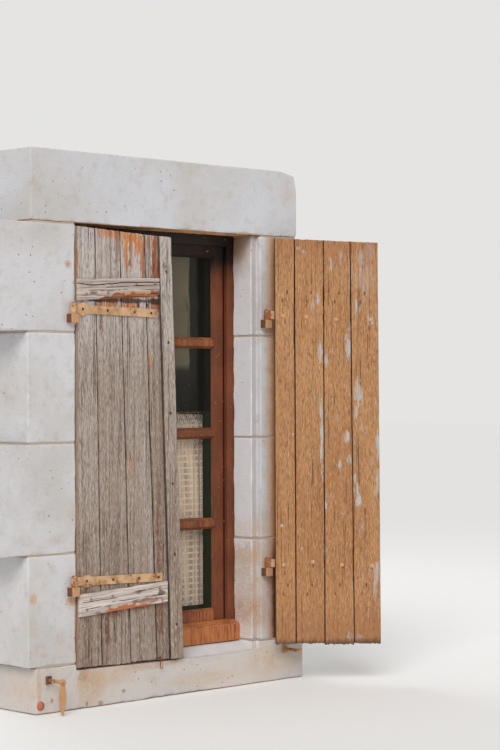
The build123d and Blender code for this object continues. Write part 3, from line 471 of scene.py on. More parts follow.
def strap_paint(name, seed, orange=0.0, eye=0.13):
    """Old pale paint over forged iron: greenish where thin, rust at the eye, the edges and the nails."""
    sheet = Sheet(name)
    broad = sheet.noise(26, sheet.moved(seed, 0, 0), 4)
    fine = sheet.noise(210, detail=4, rough=0.65)
    sheet.colour = sheet.mix(broad.step(0.35, 0.65), (204, 166, 126), (178, 138, 99))
    sheet.lay(broad.step(0.60, 0.70) * 0.6, (152, 140, 104))
    rust = (broad * 0.55 + fine * 0.45 + by_eye(sheet, 0.017) * eye).step(0.565 - orange, 0.63 - orange)
    sheet.lay(rust * 0.85, (138, 72, 42))
    sheet.lay(fine.step(0.64, 0.74) * 0.7, (84, 46, 30))
    return sheet.finish(0.66 + rust * 0.2, fine - rust * 0.5, 0.0009, gloss=0.35)


def rusty_iron(name, seed, paint=0.0, flank=False, dark=0.0, tip=False, boss=False, faded=False):
    """Flaking rust from orange to near black, with ochre paint left where paint is above 0.

    tip leaves a tongue's point and eye bare, and boss reddens the irons near the sill's end.
    """
    sheet = Sheet(name)
    broad = sheet.noise(42, sheet.moved(seed, 0, 0), 5)
    fine = sheet.noise(330, detail=4, rough=0.7)
    x, y, z = sheet.axes()
    sheet.colour = sheet.ramp(broad * 0.7 + fine * 0.3, (0.30, (58, 34, 26)), (0.48, (110, 58, 34)),
                              (0.62, (158, 84, 44)), (0.78, (92, 52, 36)))
    if paint:
        bare = 0.0
        if tip:
            bare = (z + (broad - 0.5) * 0.02).step(0.030, 0.018).most((z - 0.004).step(0.106, 0.112)) * 0.22
        left = (broad * 0.6 + fine * 0.4 + bare).step(0.60 - 0.16 * paint, 0.50 - 0.16 * paint)
        sheet.lay((1 - left) * 0.9, (194, 150, 110))
    if dark:
        sheet.lay(dark, (62, 44, 36))
    if faded:
        ledges = z.step(1.486, 1.490) * z.step(1.60, 1.59)
        ledges = ledges.most(z.step(0.32, 0.33) * z.step(0.436, 0.430))
        sheet.lay(ledges * 0.65, (158, 138, 124))
    if flank:
        facing = sheet.axes(sheet.coordinates["Normal"])[0]
        sheet.lay((facing * -1.0 + (broad - 0.5)).step(0.55, 0.85) * 0.85, (84, 46, 32))
    if boss:
        plate = (y - WALL).step(-0.022, -0.012) * x.step(-0.55, -0.58)
        sheet.lay(plate * 0.8, sheet.mix(fine, (70, 38, 28), (128, 66, 40)))
        sheet.lay(plate * x.step(-0.628, -0.632) * 0.85, (186, 112, 88))
    return sheet.finish(0.86, broad + fine * 0.6, 0.0010, gloss=0.3)


def dark_iron():
    sheet = Sheet("fastener_iron")
    fine = sheet.noise(260, detail=4)
    worn = sheet.noise(60, detail=3).step(0.58, 0.70)
    sheet.colour = sheet.mix(fine, (50, 38, 33), (72, 56, 48))
    sheet.lay(worn * 0.7, (120, 92, 74))
    return sheet.finish(0.42 + worn * 0.2, fine, 0.0004, gloss=0.5)


def brass():
    sheet = Sheet("rod_brass")
    fine = sheet.noise(300, detail=3)
    sheet.colour = sheet.mix(fine.step(0.4, 0.7), (176, 140, 74), (126, 98, 52))
    return sheet.finish(0.34 + fine * 0.2, fine, 0.0002, metal=1.0)


def glass():
    """Old panes: near opaque and dark above the curtain and beside it, painted shade for the dark room behind,
    clearer in front of it, dusty in the middle, where the upper panes are lighter, a painted reflection.
    """
    sheet = Sheet("window_glass")
    low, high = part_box("right_sash_panes")
    x, _, z = sheet.axes()
    cloud = sheet.noise(5.0, sheet.stretched((1, 1, 1.6)), 4, 0.6)
    dust = sheet.noise(90, detail=3)
    out = abs(x)
    # Painted shade: above the curtain, and in a margin beside it, the panes are near opaque and dark, standing in for
    # the shaded room behind.
    above = (z + (cloud - 0.5) * 0.004).step(1.066, 1.071)
    beside = out.step(high[0] - 0.048, high[0] - 0.045).most(z.step(low[2] + 0.023, low[2] + 0.019))
    beside = beside * (1 - above)
    # The middle panes carry dust, and in their upper part a lighter tone that is a painted reflection.
    dust_and_reflection = (out + (cloud - 0.5) * 0.03).step(0.246, 0.236) * (cloud * 0.6 + 0.55)
    upper = z.step(1.225, 1.265)
    sheet.colour = sheet.mix(dust_and_reflection.held(), (27, 26, 21), sheet.mix(upper, (36, 32, 24), (104, 96, 76)))
    sheet.lay(beside * 0.9, (36, 41, 28))
    sheet.lay(dust.step(0.58, 0.74) * dust_and_reflection.held() * 0.45, (104, 99, 84))
    streaks = sheet.grain((22, 22, 5), 4, 0.6, 0.6).step(0.58, 0.66)
    sheet.lay(streaks * dust_and_reflection.held() * 0.5, (24, 23, 18))
    alpha = 0.05 + above.most(beside) * 0.94
    ripple = sheet.noise(14, detail=2)
    return sheet.finish(0.05 + dust * 0.08, ripple, 0.0006, gloss=0.09, alpha=alpha.held())


def net():
    """Cream net: a lattice of broad bands, the open mesh between painted dark, as shade for the room behind, and
    lighter where folds lie double.
    """
    sheet = Sheet("curtain_net")
    u, v, _ = sheet.axes(sheet.uv())
    cell = 0.024

    def thread(across, pitch, part):
        wave = (across * (1 / pitch)).math("FRACT", across * (1 / pitch))
        return abs(wave - 0.5).step(0.5 - part, 0.5 - part * 0.55)

    x, _, z = sheet.axes()
    out = abs(x).step(0.345, 0.305)
    fold = sheet.grain((26, 1.1, 1), 3, vector=sheet.uv()) + out * 0.09 - v.step(0.42, 0.26) * 0.07
    blot = sheet.grain((60, 60, 1), 4, vector=sheet.uv())
    bars = thread(u, cell, 0.20).most(thread(v, cell, 0.20))
    mesh = thread(u, cell / 6, 0.24).most(thread(v, cell / 6, 0.24))
    # Painted shade: the open mesh is dark, as the shaded room seen through it.
    open_shade_tone = sheet.mix(fold.step(0.44, 0.60), (128, 100, 70), (220, 194, 162))
    open_shade_tone = sheet.mix(mesh * 0.35, open_shade_tone, (206, 180, 150))
    sheet.colour = sheet.mix(bars, open_shade_tone, (240, 217, 188))
    header = z.step(1.018, 1.030)
    sheet.lay(header, sheet.mix(thread(u, 0.0075, 0.30), (140, 122, 102), (246, 232, 212)))
    sheet.lay_all(
        (blot, 0.50, 0.72, 0.30, (166, 138, 106)),
        (v, 0.42, 0.26, 0.12, (96, 70, 46)))
    alpha = (bars * 0.12 + mesh * 0.05 + 0.86).held()
    return sheet.finish(0.9, bars + mesh * 0.4, 0.0006, alpha=alpha, sheen=0.2)


# Surfaces

def lumps(u, v, seed):
    """Smooth noise from -1 to 1: random values on a unit lattice, blended by 3s^2 - 2s^3 between them."""
    table = np.random.default_rng(seed).uniform(-1, 1, (64, 64))
    i, j = np.floor(u).astype(int), np.floor(v).astype(int)
    s, t = u - i, v - j
    s, t = s * s * (3 - 2 * s), t * t * (3 - 2 * t)
    low = table[i % 64, j % 64] * (1 - s) + table[(i + 1) % 64, j % 64] * s
    high = table[i % 64, (j + 1) % 64] * (1 - s) + table[(i + 1) % 64, (j + 1) % 64] * s
    return low * (1 - t) + high * t


def mesh_piece(name, points, faces, uv=None, marks=None):
    """A mesh object from whole arrays: points (n, 3), faces a list of index arrays of one width each.

    marks holds numbers for each point, by name, that a material reads.
    """
    mesh = bpy.data.meshes.new(name)
    sizes = np.concatenate([np.full(len(group), group.shape[1]) for group in faces])
    corners = np.concatenate([group.ravel() for group in faces]).astype(np.int32)
    mesh.vertices.add(len(points))
    mesh.vertices.foreach_set("co", np.asarray(points, dtype=np.float32).ravel())
    mesh.loops.add(len(corners))
    mesh.loops.foreach_set("vertex_index", corners)
    mesh.polygons.add(len(sizes))
    starts = np.concatenate([[0], np.cumsum(sizes)[:-1]]).astype(np.int32)
    mesh.polygons.foreach_set("loop_start", starts)
    mesh.polygons.foreach_set("loop_total", sizes.astype(np.int32))
    mesh.update(calc_edges=True)
    if uv is not None:
        layer = mesh.uv_layers.new(name="place")
        layer.data.foreach_set("uv", np.asarray(uv, dtype=np.float32)[corners].ravel())
    for mark, numbers in (marks or {}).items():
        mesh.attributes.new(mark, "FLOAT", "POINT").data.foreach_set(
            "value", np.asarray(numbers, dtype=np.float32).ravel())
    mesh.validate()
    piece = bpy.data.objects.new(name, mesh)
    bpy.context.collection.objects.link(piece)
    return piece


def grid_faces(rows, columns, start=0, wrap=False, flip=False):
    """Quads between neighbouring points of a rows x columns grid; wrap joins the last column to the first."""
    i, j = np.meshgrid(np.arange(rows - 1), np.arange(columns if wrap else columns - 1), indexing="ij")
    right = (j + 1) % columns
    quads = np.stack([i * columns + j, i * columns + right, (i + 1) * columns + right,
                      (i + 1) * columns + j], axis=-1).reshape(-1, 4) + start
    return quads[:, ::-1] if flip else quads


def outward(piece):
    """Turns the faces of a closed piece outwards, where its signed volume is below 0."""
    mesh = piece.data
    co = np.empty(len(mesh.vertices) * 3)
    mesh.vertices.foreach_get("co", co)
    co = co.reshape(-1, 3)
    mesh.calc_loop_triangles()
    tri = np.empty(len(mesh.loop_triangles) * 3, dtype=np.int32)
    mesh.loop_triangles.foreach_get("vertices", tri)
    a, b, c = co[tri[0::3]], co[tri[1::3]], co[tri[2::3]]
    if np.einsum("ij,ij->i", a, np.cross(b, c)).sum() < 0:
        mesh.flip_normals()


def smooth(piece, angle=50):
    piece.data.polygons.foreach_set("use_smooth", np.ones(len(piece.data.polygons), dtype=bool))
    piece.data.set_sharp_from_angle(angle=np.radians(angle))


def dress(piece, body, node, material):
    """Hangs a new piece on its body, in place of a CAD node, with its material."""
    piece.data.materials.append(material)
    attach(piece, body)
    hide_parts(node)


slots = {part["node"]: part["material_slot"] for part in frame["record"]["subparts"]}


# Leaves

BOARD_COUNT, GAP, EDGE = 4, 0.0025, 0.004
THICK, PROUD = 0.027, 0.004
BATTEN_THICK, STRIP_THICK = 0.013, 0.014
# Millimetres from here to BATTENS, for the left leaf, -1, and the right one, 1: board widths at top and foot,
# how far each free corner (top, foot) stays short, and how far each end drops from the opening (hinge, free edge).
TOPS = {-1: (86.0, 120.0, 121.0), 1: (78.0, 115.0, 107.5)}
FEET = {-1: (115.0, 141.0, 130.0), 1: (81.0, 115.0, 118.0)}
SHORT = {-1: (18.0, -42.0), 1: (56.5, 47.0)}
TOP_DROP = {-1: (9.5, 31.5), 1: (12.5, 28.0)}
FOOT_DROP = {-1: (19.0, 25.5), 1: (14.0, 21.0)}
FOOT_OFFSET = {-1: (1.5, -1.0, 2.0, 0.0), 1: (0.0, 2.5, -1.0, 1.5)}
STRIP_WIDE = (66.0, 61.0)
# A batten's start, its distance from the irons' reach, its middle's height (two ends) and its width (two ends).
BATTENS = {
    (-1, "upper"): (1.0, 6.5, (-243.0, -222.5), (79.0, 70.5)),
    (-1, "lower"): (5.0, 2.5, (211.0, 233.0), (82.0, 79.5)),
    (1, "upper"): (8.0, 14.0, (-237.0, -244.0), (80.0, 80.0)),
    (1, "lower"): (8.0, 14.0, (209.0, 204.0), (80.0, 80.0)),
}
STRAP_Z = {(-1, "upper"): 1.453, (-1, "lower"): 0.465, (1, "upper"): 1.451, (1, "lower"): 0.472}


def place_leaf(side, t, z, depth):
    """Leaf point, reach t from the arris and depth behind the wall's face, turned by the open angle."""
    x, y = side * (ARRIS - t) - side * PIN_X, WALL + depth - PIN_Y
    turn = np.radians(side * OPEN_ANGLE[side])
    return np.stack([side * PIN_X + np.cos(turn) * x - np.sin(turn) * y,
                     PIN_Y + np.sin(turn) * x + np.cos(turn) * y, z + 0 * x], axis=-1)


def free_reach(side, high):
    return ARRIS - SHORT[side][0 if high else 1] * MM


def joint_reach(side, index, high):
    if index == BOARD_COUNT:
        return free_reach(side, high)
    return EDGE + sum((TOPS if high else FEET)[side][:index]) * MM


def end_level(side, t, high):
    near, far = (TOP_DROP if high else FOOT_DROP)[side]
    share = (t - EDGE) / (free_reach(side, True) - EDGE)
    return (LINTEL if high else SILL) - (near + share * (far - near)) * MM


def spaced(length, step, fine, count):
    """0..1 stations along a length: count fine steps at each end and even steps between."""
    ends = np.arange(count) * fine / length
    between = np.linspace(count * fine / length, 1 - count * fine / length,
                          max(2, int(length / step)))
    return np.concatenate([ends, between, 1 - ends[::-1]])


def rounded(radius, s):
    """How far a face falls at s from its edge: r - sqrt(r^2 - (r - s)^2), and 0 beyond r."""
    inside = np.clip(radius - s, 0, None)
    return radius - np.sqrt(np.maximum(radius ** 2 - inside ** 2, 0))


def crack(across, along, line, start, stop, fade, half, deep):
    """A crack's depth, deep * (1 - |across - line| / half), narrowing over fade to its two ends."""
    run = np.clip((along - start) / fade, 0, 1) * np.clip((stop - along) / fade, 0, 1)
    return deep * np.clip(1 - abs(across - line) / (half * (0.3 + 0.7 * run) + 1e-6), 0, 1) * (run > 0)


def slab(name, t, z, skins, marks):
    """A closed skin: an outer and an inner grid joined round their rims, with (t, z) as UV."""
    rows, columns = t.shape
    count = rows * columns
    rim = np.concatenate([np.arange(columns), np.arange(1, rows) * columns + columns - 1,
                          (rows - 1) * columns + np.arange(columns - 2, -1, -1),
                          np.arange(rows - 2, 0, -1) * columns])
    after = np.roll(rim, -1)
    faces = np.concatenate([grid_faces(rows, columns), grid_faces(rows, columns, count, flip=True),
                            np.stack([rim, rim + count, after + count, after], axis=-1)])
    uv = np.concatenate([np.stack([t.ravel(), z.ravel()], axis=-1)] * 2)
    piece = mesh_piece(name, np.concatenate([skin.reshape(-1, 3) for skin in skins]), [faces], uv, {
        mark: np.concatenate([part.ravel() for part in parts]) for mark, parts in marks.items()})
    outward(piece)
    smooth(piece, 55)
    return piece


def plank(name, side, edges, ends, depths, seed, round_edge=0.0028, ragged=(0.0015, 0.0035), cracks=(),
          along=0.007, across=0.0035, first=False):
    """A weathered plank between an outer and an inner grid.

    Across it, t runs from edges[0] to edges[1], given at the foot and at the top and bowed a little.
    Along it, z runs from ends[0](t) to ends[1](t), with ragged saw cuts. Depth is depths[0] on the outer
    face and depths[1] on the inner one, drawn in by the rounded edge, by low ridges along the grain, and
    by cracks, each (t, z0, z1, half width, depth) in mm. The hollow mark, painted shade in the cracks and
    the gaps between boards, leaves out the near edge of a first board.
    """
    (t0_foot, t0_top), (t1_foot, t1_top) = edges
    wide = max(t1_foot - t0_foot, t1_top - t0_top)
    tall = abs(ends[1](t0_top) - ends[0](t0_foot))
    B, A = np.meshgrid(spaced(tall, along, 0.0016, 3), spaced(wide, across, 0.0009, 4), indexing="ij")
    bow, bow_far = (0.0011 * lumps(B * tall * 2.2 + seed, 0 * B + row, seed + part) for row, part in ((0, 1), (9, 2)))
    left = t0_foot + (t0_top - t0_foot) * B + np.maximum(bow, 0)
    right = t1_foot + (t1_top - t1_foot) * B - np.maximum(bow_far, 0)
    t = left + (right - left) * A
    low = ends[0](t) + ragged[0] * (1 + lumps(t * 260, 0 * t, seed + 3)) * 0.6
    low = low + ragged[0] * 0.5 * (1 + lumps(t * 900, 0 * t + 5, seed + 3))
    high = ends[1](t) - ragged[1] * (1 + lumps(t * 240, 0 * t, seed + 4)) * 0.5
    z = low + (high - low) * B
    s = np.minimum(np.minimum(t - left, right - t), np.minimum(z - low, high - z) * 1.2)
    drop = rounded(round_edge * (1 + 0.55 * lumps(z * 34, A * 2, seed + 5)), s)
    gap = right - t if first else np.minimum(t - left, right - t)
    dug = 0 * t
    for where, z0, z1, half, deep in np.multiply(cracks, MM).tolist():
        middle = where + 0.0016 * lumps(z * 26, 0 * z, seed + 9)
        dug = np.maximum(dug, crack(t, z, middle, z0, z1, 0.04, half, deep))
    # The hollow mark is painted shade: 1 in the cracks and at the gaps between boards.
    hollow = np.maximum(np.clip(dug / 0.004, 0, 1), np.clip(1 - gap / 0.0032, 0, 1))
    skins = []
    for face, (depth, sign) in enumerate(zip(depths, (1, -1))):
        grain = 0.00028 * lumps(t * 520 + face * 7, z * 7, seed + 6) + 0.00022 * lumps(t * 230, z * 4, seed + 7)
        cup = 0.0012 * (0.35 + 0.35 * lumps(t * 9, z * 1.6, seed + 8 + face))
        skins.append(place_leaf(side, t, z, depth + sign * (drop + cup + 0.0004 - grain + dug)))
    return slab(name, t, z, skins, {"hollow": [hollow, hollow]})


# Marks in millimetres, by board. Cracks: (t, from z, to z, half width, depth). The others: (t, z, half width,
# half height), then where they differ from board to board the strength, 0..1, and the colour.
LEFT_CRACKS = {
    0: [(57, 100, 345, 1.6, 20), (30, 1000, 1700, 1, 4)],
    1: [(140, 150, 620, 1.1, 6), (165, 900, 1350, 1.1, 5), (185, 140, 400, 1.2, 8)],
    2: [(262, 550, 1100, 1.1, 6), (300, 1150, 1700, 1.1, 6), (330, 140, 500, 1, 5)],
    3: [(378, 1050, 1740, 1.4, 10), (425, 140, 700, 1.1, 6)],
}
RIGHT_CRACKS = {
    0: [(45, 900, 1600, 0.9, 4)],
    1: [(128, 1440, 1600, 0.8, 4), (150, 550, 750, 0.7, 3)],
    2: [(250, 1280, 1420, 0.8, 3), (236, 620, 950, 0.7, 3)],
    3: [(362, 350, 720, 0.9, 4), (372, 1000, 1400, 0.8, 3)],
}
ORANGE = {
    0: [(3, 1620, 8, 70, 0.9), (12, 1430, 22, 20, 0.5)],
    1: [(150, 1745, 55, 26, 0.85), (150, 1478, 60, 20, 0.9, (196, 112, 72)), (196, 1700, 6, 70, 0.6)],
    2: [(250, 1730, 60, 42, 1.0), (236, 1672, 12, 60, 0.9), (262, 1660, 10, 75, 0.9),
        (322, 1660, 8, 100, 0.9, (176, 104, 54)), (300, 1700, 22, 45, 0.8), (262, 1474, 50, 20, 0.95),
        (262, 885, 12, 50, 0.5)],
    3: [(352, 1710, 12, 35, 0.8, (178, 88, 58)), (386, 1660, 14, 120, 0.95, (172, 92, 54)),
        (404, 1620, 7, 140, 0.9, (140, 72, 42)), (372, 1640, 4, 100, 0.8, (220, 176, 132)),
        (380, 1474, 30, 22, 0.9, (150, 70, 44)), (350, 1260, 14, 30, 0.8), (330, 830, 12, 100, 0.5)],
}
RUST = {
    0: [(10, 440, 12, 50), (50, 420, 30, 20)],
    1: [(118, 1400, 10, 50), (150, 335, 80, 20), (145, 270, 12, 50)],
    2: [(256, 1628, 5, 18), (290, 360, 50, 30)],
    3: [(372, 1600, 12, 100), (405, 1520, 10, 120), (395, 300, 30, 100), (400, 600, 12, 200)],
}
# Painted shadow under the upper batten's torn lower edge, by board: (t, z, half width, half height).
BATTEN_SHADOW = {
    0: [(78, 1488, 30, 7)],
    1: [(150, 1489, 90, 11)],
    2: [(262, 1489, 90, 11), (210, 1474, 9, 16), (300, 1474, 6, 14)],
    3: [(385, 1489, 60, 12), (338, 1474, 12, 16)],
}
FLAKES = {
    0: [(30, 620, 6, 8), (76, 980, 4, 6)],
    1: [(98, 1712, 8, 6), (118, 1699, 9, 6), (175, 1509, 7, 24), (184, 1300, 9, 45), (184, 1090, 6, 30),
        (189, 960, 7, 150), (110, 530, 5, 6)],
    2: [(228, 1647, 5, 30), (309, 1620, 8, 110), (209, 1272, 8, 28), (297, 1325, 15, 55), (310, 1260, 7, 30),
        (290, 970, 12, 24), (262, 860, 7, 22), (300, 880, 12, 20, 0.7), (310, 1450, 5, 60), (205, 700, 5, 20),
        (300, 180, 14, 18)],
    3: [(333, 1140, 12, 52), (327, 1070, 7, 30), (350, 1130, 5, 30, 0.7), (365, 1590, 35, 70, 0.3),
        (385, 1700, 20, 40, 0.45), (345, 1660, 8, 50, 0.5), (322, 805, 5, 22), (337, 713, 13, 24), (333, 758, 6, 30),
        (413, 930, 8, 60), (412, 790, 6, 50, 0.7), (408, 430, 12, 40), (400, 370, 8, 50, 0.6), (327, 1480, 6, 50),
        (392, 1425, 8, 14), (335, 175, 10, 16)],
}


BOLTS = [(34.5, 1445), (129, 1441), (247, 1432), (386, 1430), (34.5, 466), (152, 476), (268, 463), (389, 457)]
BATTEN_CRACKS = {
    (-1, "upper"): [(-20, 440, 19, 2.4, 7.5), (120, 400, 9, 1.4, 5), (20, 240, -6, 1.2, 4), (20, 140, -22, 1.2, 4.5)],
    (-1, "lower"): [(20, 200, 12, 1.6, 6), (160, 430, -6, 1.2, 4.5), (250, 430, 19, 1.1, 4), (20, 160, -16, 1.2, 5)],
}
BATTEN_MARKS = {
    (-1, "upper"): [(300, 1512, 120, 12, 0.6, (196, 128, 72)), (395, 1520, 30, 14, 0.8, (92, 66, 54)),
                    (70, 1512, 20, 6, 0.7, (96, 66, 50)), (370, 1530, 20, 12, 0.5, (190, 120, 100))],
    (-1, "lower"): [(245, 352, 120, 13, 0.9, (178, 94, 46)), (340, 372, 100, 10, 0.7, (132, 82, 58)),
                    (290, 405, 12, 8, 0.6, (104, 84, 66)), (405, 398, 20, 10, 0.8, (84, 58, 44)),
                    (90, 345, 12, 8, 0.5, (110, 84, 66))],
}


def build_boards(side):
    name = SIDE_NAMES[side]
    for index in range(BOARD_COUNT):
        near = (-0.0018 if side < 0 else 0.0) if index == 0 else GAP / 2
        far = 0.0 if index == BOARD_COUNT - 1 else GAP / 2
        edges = [[joint_reach(side, index + at, high) + (far if at else near) * (-1 if at else 1)
                  for high in (False, True)] for at in (0, 1)]
        offset = FOOT_OFFSET[side][index] * MM
        ends = (lambda t, o=offset: end_level(side, t, False) + o, lambda t: end_level(side, t, True))
        cracks = (LEFT_CRACKS if side < 0 else RIGHT_CRACKS)[index]
        ragged = (0.0030, 0.0030) if side < 0 else (0.0040, 0.0020)
        piece = plank(f"{name}_plank_{index + 1}", side, edges, ends, (-PROUD, THICK - PROUD),
                      (31 if side < 0 else 67) + index * 5, ragged=ragged, cracks=cracks,
                      first=side < 0 and index == 0)
        if side < 0:
            look = bare_wood(f"weathered_board_{index + 1}", index + 1.0, (0.0, 0.10, 0.05, 0.14)[index],
                             ORANGE[index], RUST[index], (142, 108, 82) if index == 0 else None,
                             BATTEN_SHADOW.get(index, ()))
        else:
            look = ochre_wood(f"ochre_board_{index + 1}", index + 7.0, FLAKES[index], (0.0, 0.2, 0.6, 1.0)[index])
        dress(piece, f"{name}_shutter", f"{name}_board_{index + 1}", look)


def build_domes(side):
    """Round bolt heads on the leaf's inner face: a ring of radius r stands rise * sqrt(1 - (r / radius)^2) proud."""
    radius, rise, sides = 0.0090, 0.0056, 20
    around = np.linspace(0, 2 * np.pi, sides, endpoint=False)
    share = np.sin(np.linspace(0.12, 1, 7) * np.pi / 2)
    S, W = np.meshgrid(share, around, indexing="ij")
    depth = THICK - PROUD - 0.0012 + rise * np.sqrt(1 - S ** 2 + 1e-9)
    domes = [place_leaf(side, t * MM + radius * S * np.cos(W), z * MM + radius * S * np.sin(W), depth).reshape(-1, 3)
             for t, z in BOLTS]
    starts = np.arange(len(BOLTS))[:, None] * S.size
    walls = np.concatenate([grid_faces(*S.shape, start, wrap=True) for start in starts[:, 0]])
    name = SIDE_NAMES[side]
    piece = mesh_piece(f"{name}_bolt_heads", np.concatenate(domes), [
        walls, starts + np.arange(sides)[::-1], starts + S.size - sides + np.arange(sides)])
    outward(piece)
    smooth(piece, 60)
    sheet = Sheet(f"{name}_painted_heads")
    grit = sheet.noise(260, detail=4)
    tones = ((206, 166, 124), (178, 134, 92)) if side > 0 else ((120, 92, 74), (86, 62, 50))
    sheet.colour = sheet.mix(grit, *tones)
    piece.data.materials.append(sheet.finish(0.7, grit, 0.0006, gloss=0.3))
    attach(piece, f"{name}_shutter")


def iron_reach(side, level):
    edge = [free_reach(side, high) - (STRIP_WIDE[high] * MM if side < 0 else 0) for high in (0, 1)]
    return edge[0] + (STRAP_Z[side, level] - SILL) / 1.6 * (edge[1] - edge[0])


def build_batten(side, level):
    """A ledge across the boards: its grain runs along it, so t and z change places in the plank.

    A crack is (from t, to t, height over the middle, half width, depth) in mm. The lower edge of the left
    leaf's upper batten is torn away in front, under a ragged ridge.
    """
    name = SIDE_NAMES[side]
    start, short, middle, tall = BATTENS[side, level]
    base = LINTEL if level == "upper" else SILL
    t0, t1 = start * MM, iron_reach(side, level) - short * MM
    seed = {"upper": 11, "lower": 14}[level] + (0 if side < 0 else 40)
    B, A = np.meshgrid(spaced(t1 - t0, 0.0045, 0.0016, 3), spaced(max(tall) * MM, 0.0022, 0.0009, 4), indexing="ij")
    t = t0 + (t1 - t0) * B
    centre = base + (middle[0] + (middle[1] - middle[0]) * B) * MM
    high = (tall[0] + (tall[1] - tall[0]) * B) * MM / 2
    low_edge = centre - high + 0.0012 * (1 + lumps(t * 30, 0 * t, seed)) * 0.6
    top_edge = centre + high - 0.0012 * (1 + lumps(t * 26, 0 * t, seed + 1)) * 0.6
    z = low_edge + (top_edge - low_edge) * A
    s = np.minimum(np.minimum(z - low_edge, top_edge - z), np.minimum(t - t0, t1 - t) * 1.2)
    drop = rounded(0.0035 * (1 + 0.5 * lumps(t * 40, A * 2, seed + 2)), s)
    dug = 0 * t
    cracks = BATTEN_CRACKS.get((side, level), [(50, 300, 10, 1, 3)])
    for from_t, to_t, off, half, deep in np.multiply(cracks, MM).tolist():
        line = centre + off + 0.0045 * lumps(t * 13, 0 * t + off * 300, seed + 3)
        dug = np.maximum(dug, crack(z, t, line, from_t, to_t, 0.03, half, deep))
    torn = 0 * t
    if (side, level) == (-1, "upper"):
        ridge = low_edge + 0.0185 * np.clip((t - 0.10) / 0.03, 0, 1) * (
            0.72 + 0.36 * lumps(t * 33, 0 * t, seed + 4) + 0.22 * lumps(t * 110, 0 * t, seed + 5))
        torn = 0.0105 * np.clip((ridge - z) / 0.0022, 0, 1)
    grain = 0.0003 * lumps(z * 560, t * 8, seed + 6) + 0.00035 * lumps(z * 210, t * 5, seed + 7)
    cup = 0.0012 * (0.4 + 0.4 * lumps(t * 7, z * 12, seed + 8))
    fallen = np.minimum(drop + cup + dug + torn + 0.0004 - grain, BATTEN_THICK - 0.001)
    skins = [place_leaf(side, t, z, -PROUD - BATTEN_THICK + fallen), place_leaf(side, t, z, -PROUD + 0 * t)]
    piece = slab(f"{name}_{level}_ledge", t, z, skins, {"hollow": [np.clip(dug / 0.0035, 0, 1), 0 * t],
                                                        "torn": [np.clip(torn / 0.006, 0, 1), 0 * t]})
    dress(piece, f"{name}_shutter", f"{name}_{level}_batten", ledge_wood(side, level))


def ledge_wood(side, level):
    """Batten wood: the grain is drawn out along the batten, by its own UV map."""
    sheet = Sheet(f"{SIDE_NAMES[side]}_{level}_ledge_wood")
    u, v, _ = sheet.axes(sheet.uv())
    tilt = v - u * (0.052 if side < 0 else 0.0)
    along = sheet.node("ShaderNodeCombineXYZ", X=u, Y=tilt, Z={"upper": 3.0, "lower": 5.0}[level]).outputs[0]
    fine = sheet.grain((10, 520, 1), 5, 0.62, vector=along)
    streak = sheet.grain((4.0, 130, 1), 4, 0.6, 0.5, vector=along)
    checks = sheet.grain((5.0, 240, 1), 2, 0.5, 0.3, vector=along)
    ragged = sheet.grain((30, 90, 1), 4, 0.6, vector=along)
    tones = {(-1, "upper"): ((204, 191, 182), (156, 138, 126)), (-1, "lower"): ((222, 210, 202), (170, 154, 144))}
    tones = tones.get((side, level), ((200, 144, 90), (168, 112, 64)))
    sheet.colour = sheet.mix(streak.step(0.3, 0.7), *tones)
    sheet.lay_all((fine, 0.50, 0.70, 0.6, (90, 75, 66)) if side < 0 else (fine, 0.52, 0.72, 0.5, (112, 72, 44)),
                  (checks, 0.65, 0.70, 0.85, (50, 38, 32)))
    for *spot, strength, colour in BATTEN_MARKS.get((side, level), ()):
        sheet.lay(patch(u, v, spot, ragged) * strength, colour)
    sheet.lay(sheet.marked("torn").step(0.25, 0.75) * 0.92,
              sheet.mix(streak.step(0.35, 0.6), (196, 122, 64), (120, 66, 38)))
    # Painted shade in the batten's cracks.
    sheet.lay(sheet.marked("hollow").step(0.25, 0.8) * 0.92, (46, 36, 31))
    height = fine * 0.35 + streak * 0.5 - checks.step(0.64, 0.70) * 0.9
    return sheet.finish(0.84, height, 0.0015, gloss=0.25)


def build_strip():
    """The left leaf's vertical cover strip, nailed over its meeting edge."""
    edges = [[free_reach(-1, high) - (0 if at else STRIP_WIDE[high] * MM) for high in (0, 1)] for at in (0, 1)]
    ends = (lambda t: end_level(-1, t, False), lambda t: end_level(-1, t, True))
    cracks = [(412, 1200, 1740, 1.2, 5), (470, 150, 750, 1.2, 6)]
    piece = plank("left_strip", -1, edges, ends, (-PROUD - STRIP_THICK, -PROUD - 0.0001), 97, 0.0022,
                  (0.0026, 0.0026), cracks, along=0.0055, across=0.0026)
    look = bare_wood("weathered_strip", 9.0, 0.10, [(405, 1160, 8, 40, 0.6), (415, 1000, 8, 40, 0.5)],
                     [(420, 1620, 8, 20)])
    dress(piece, "left_shutter", "left_cover_strip", look)


# Stone

NEAR, FAR = 0.0022, 9.0          # fine spacing by the arrises, and a distance beyond all of them


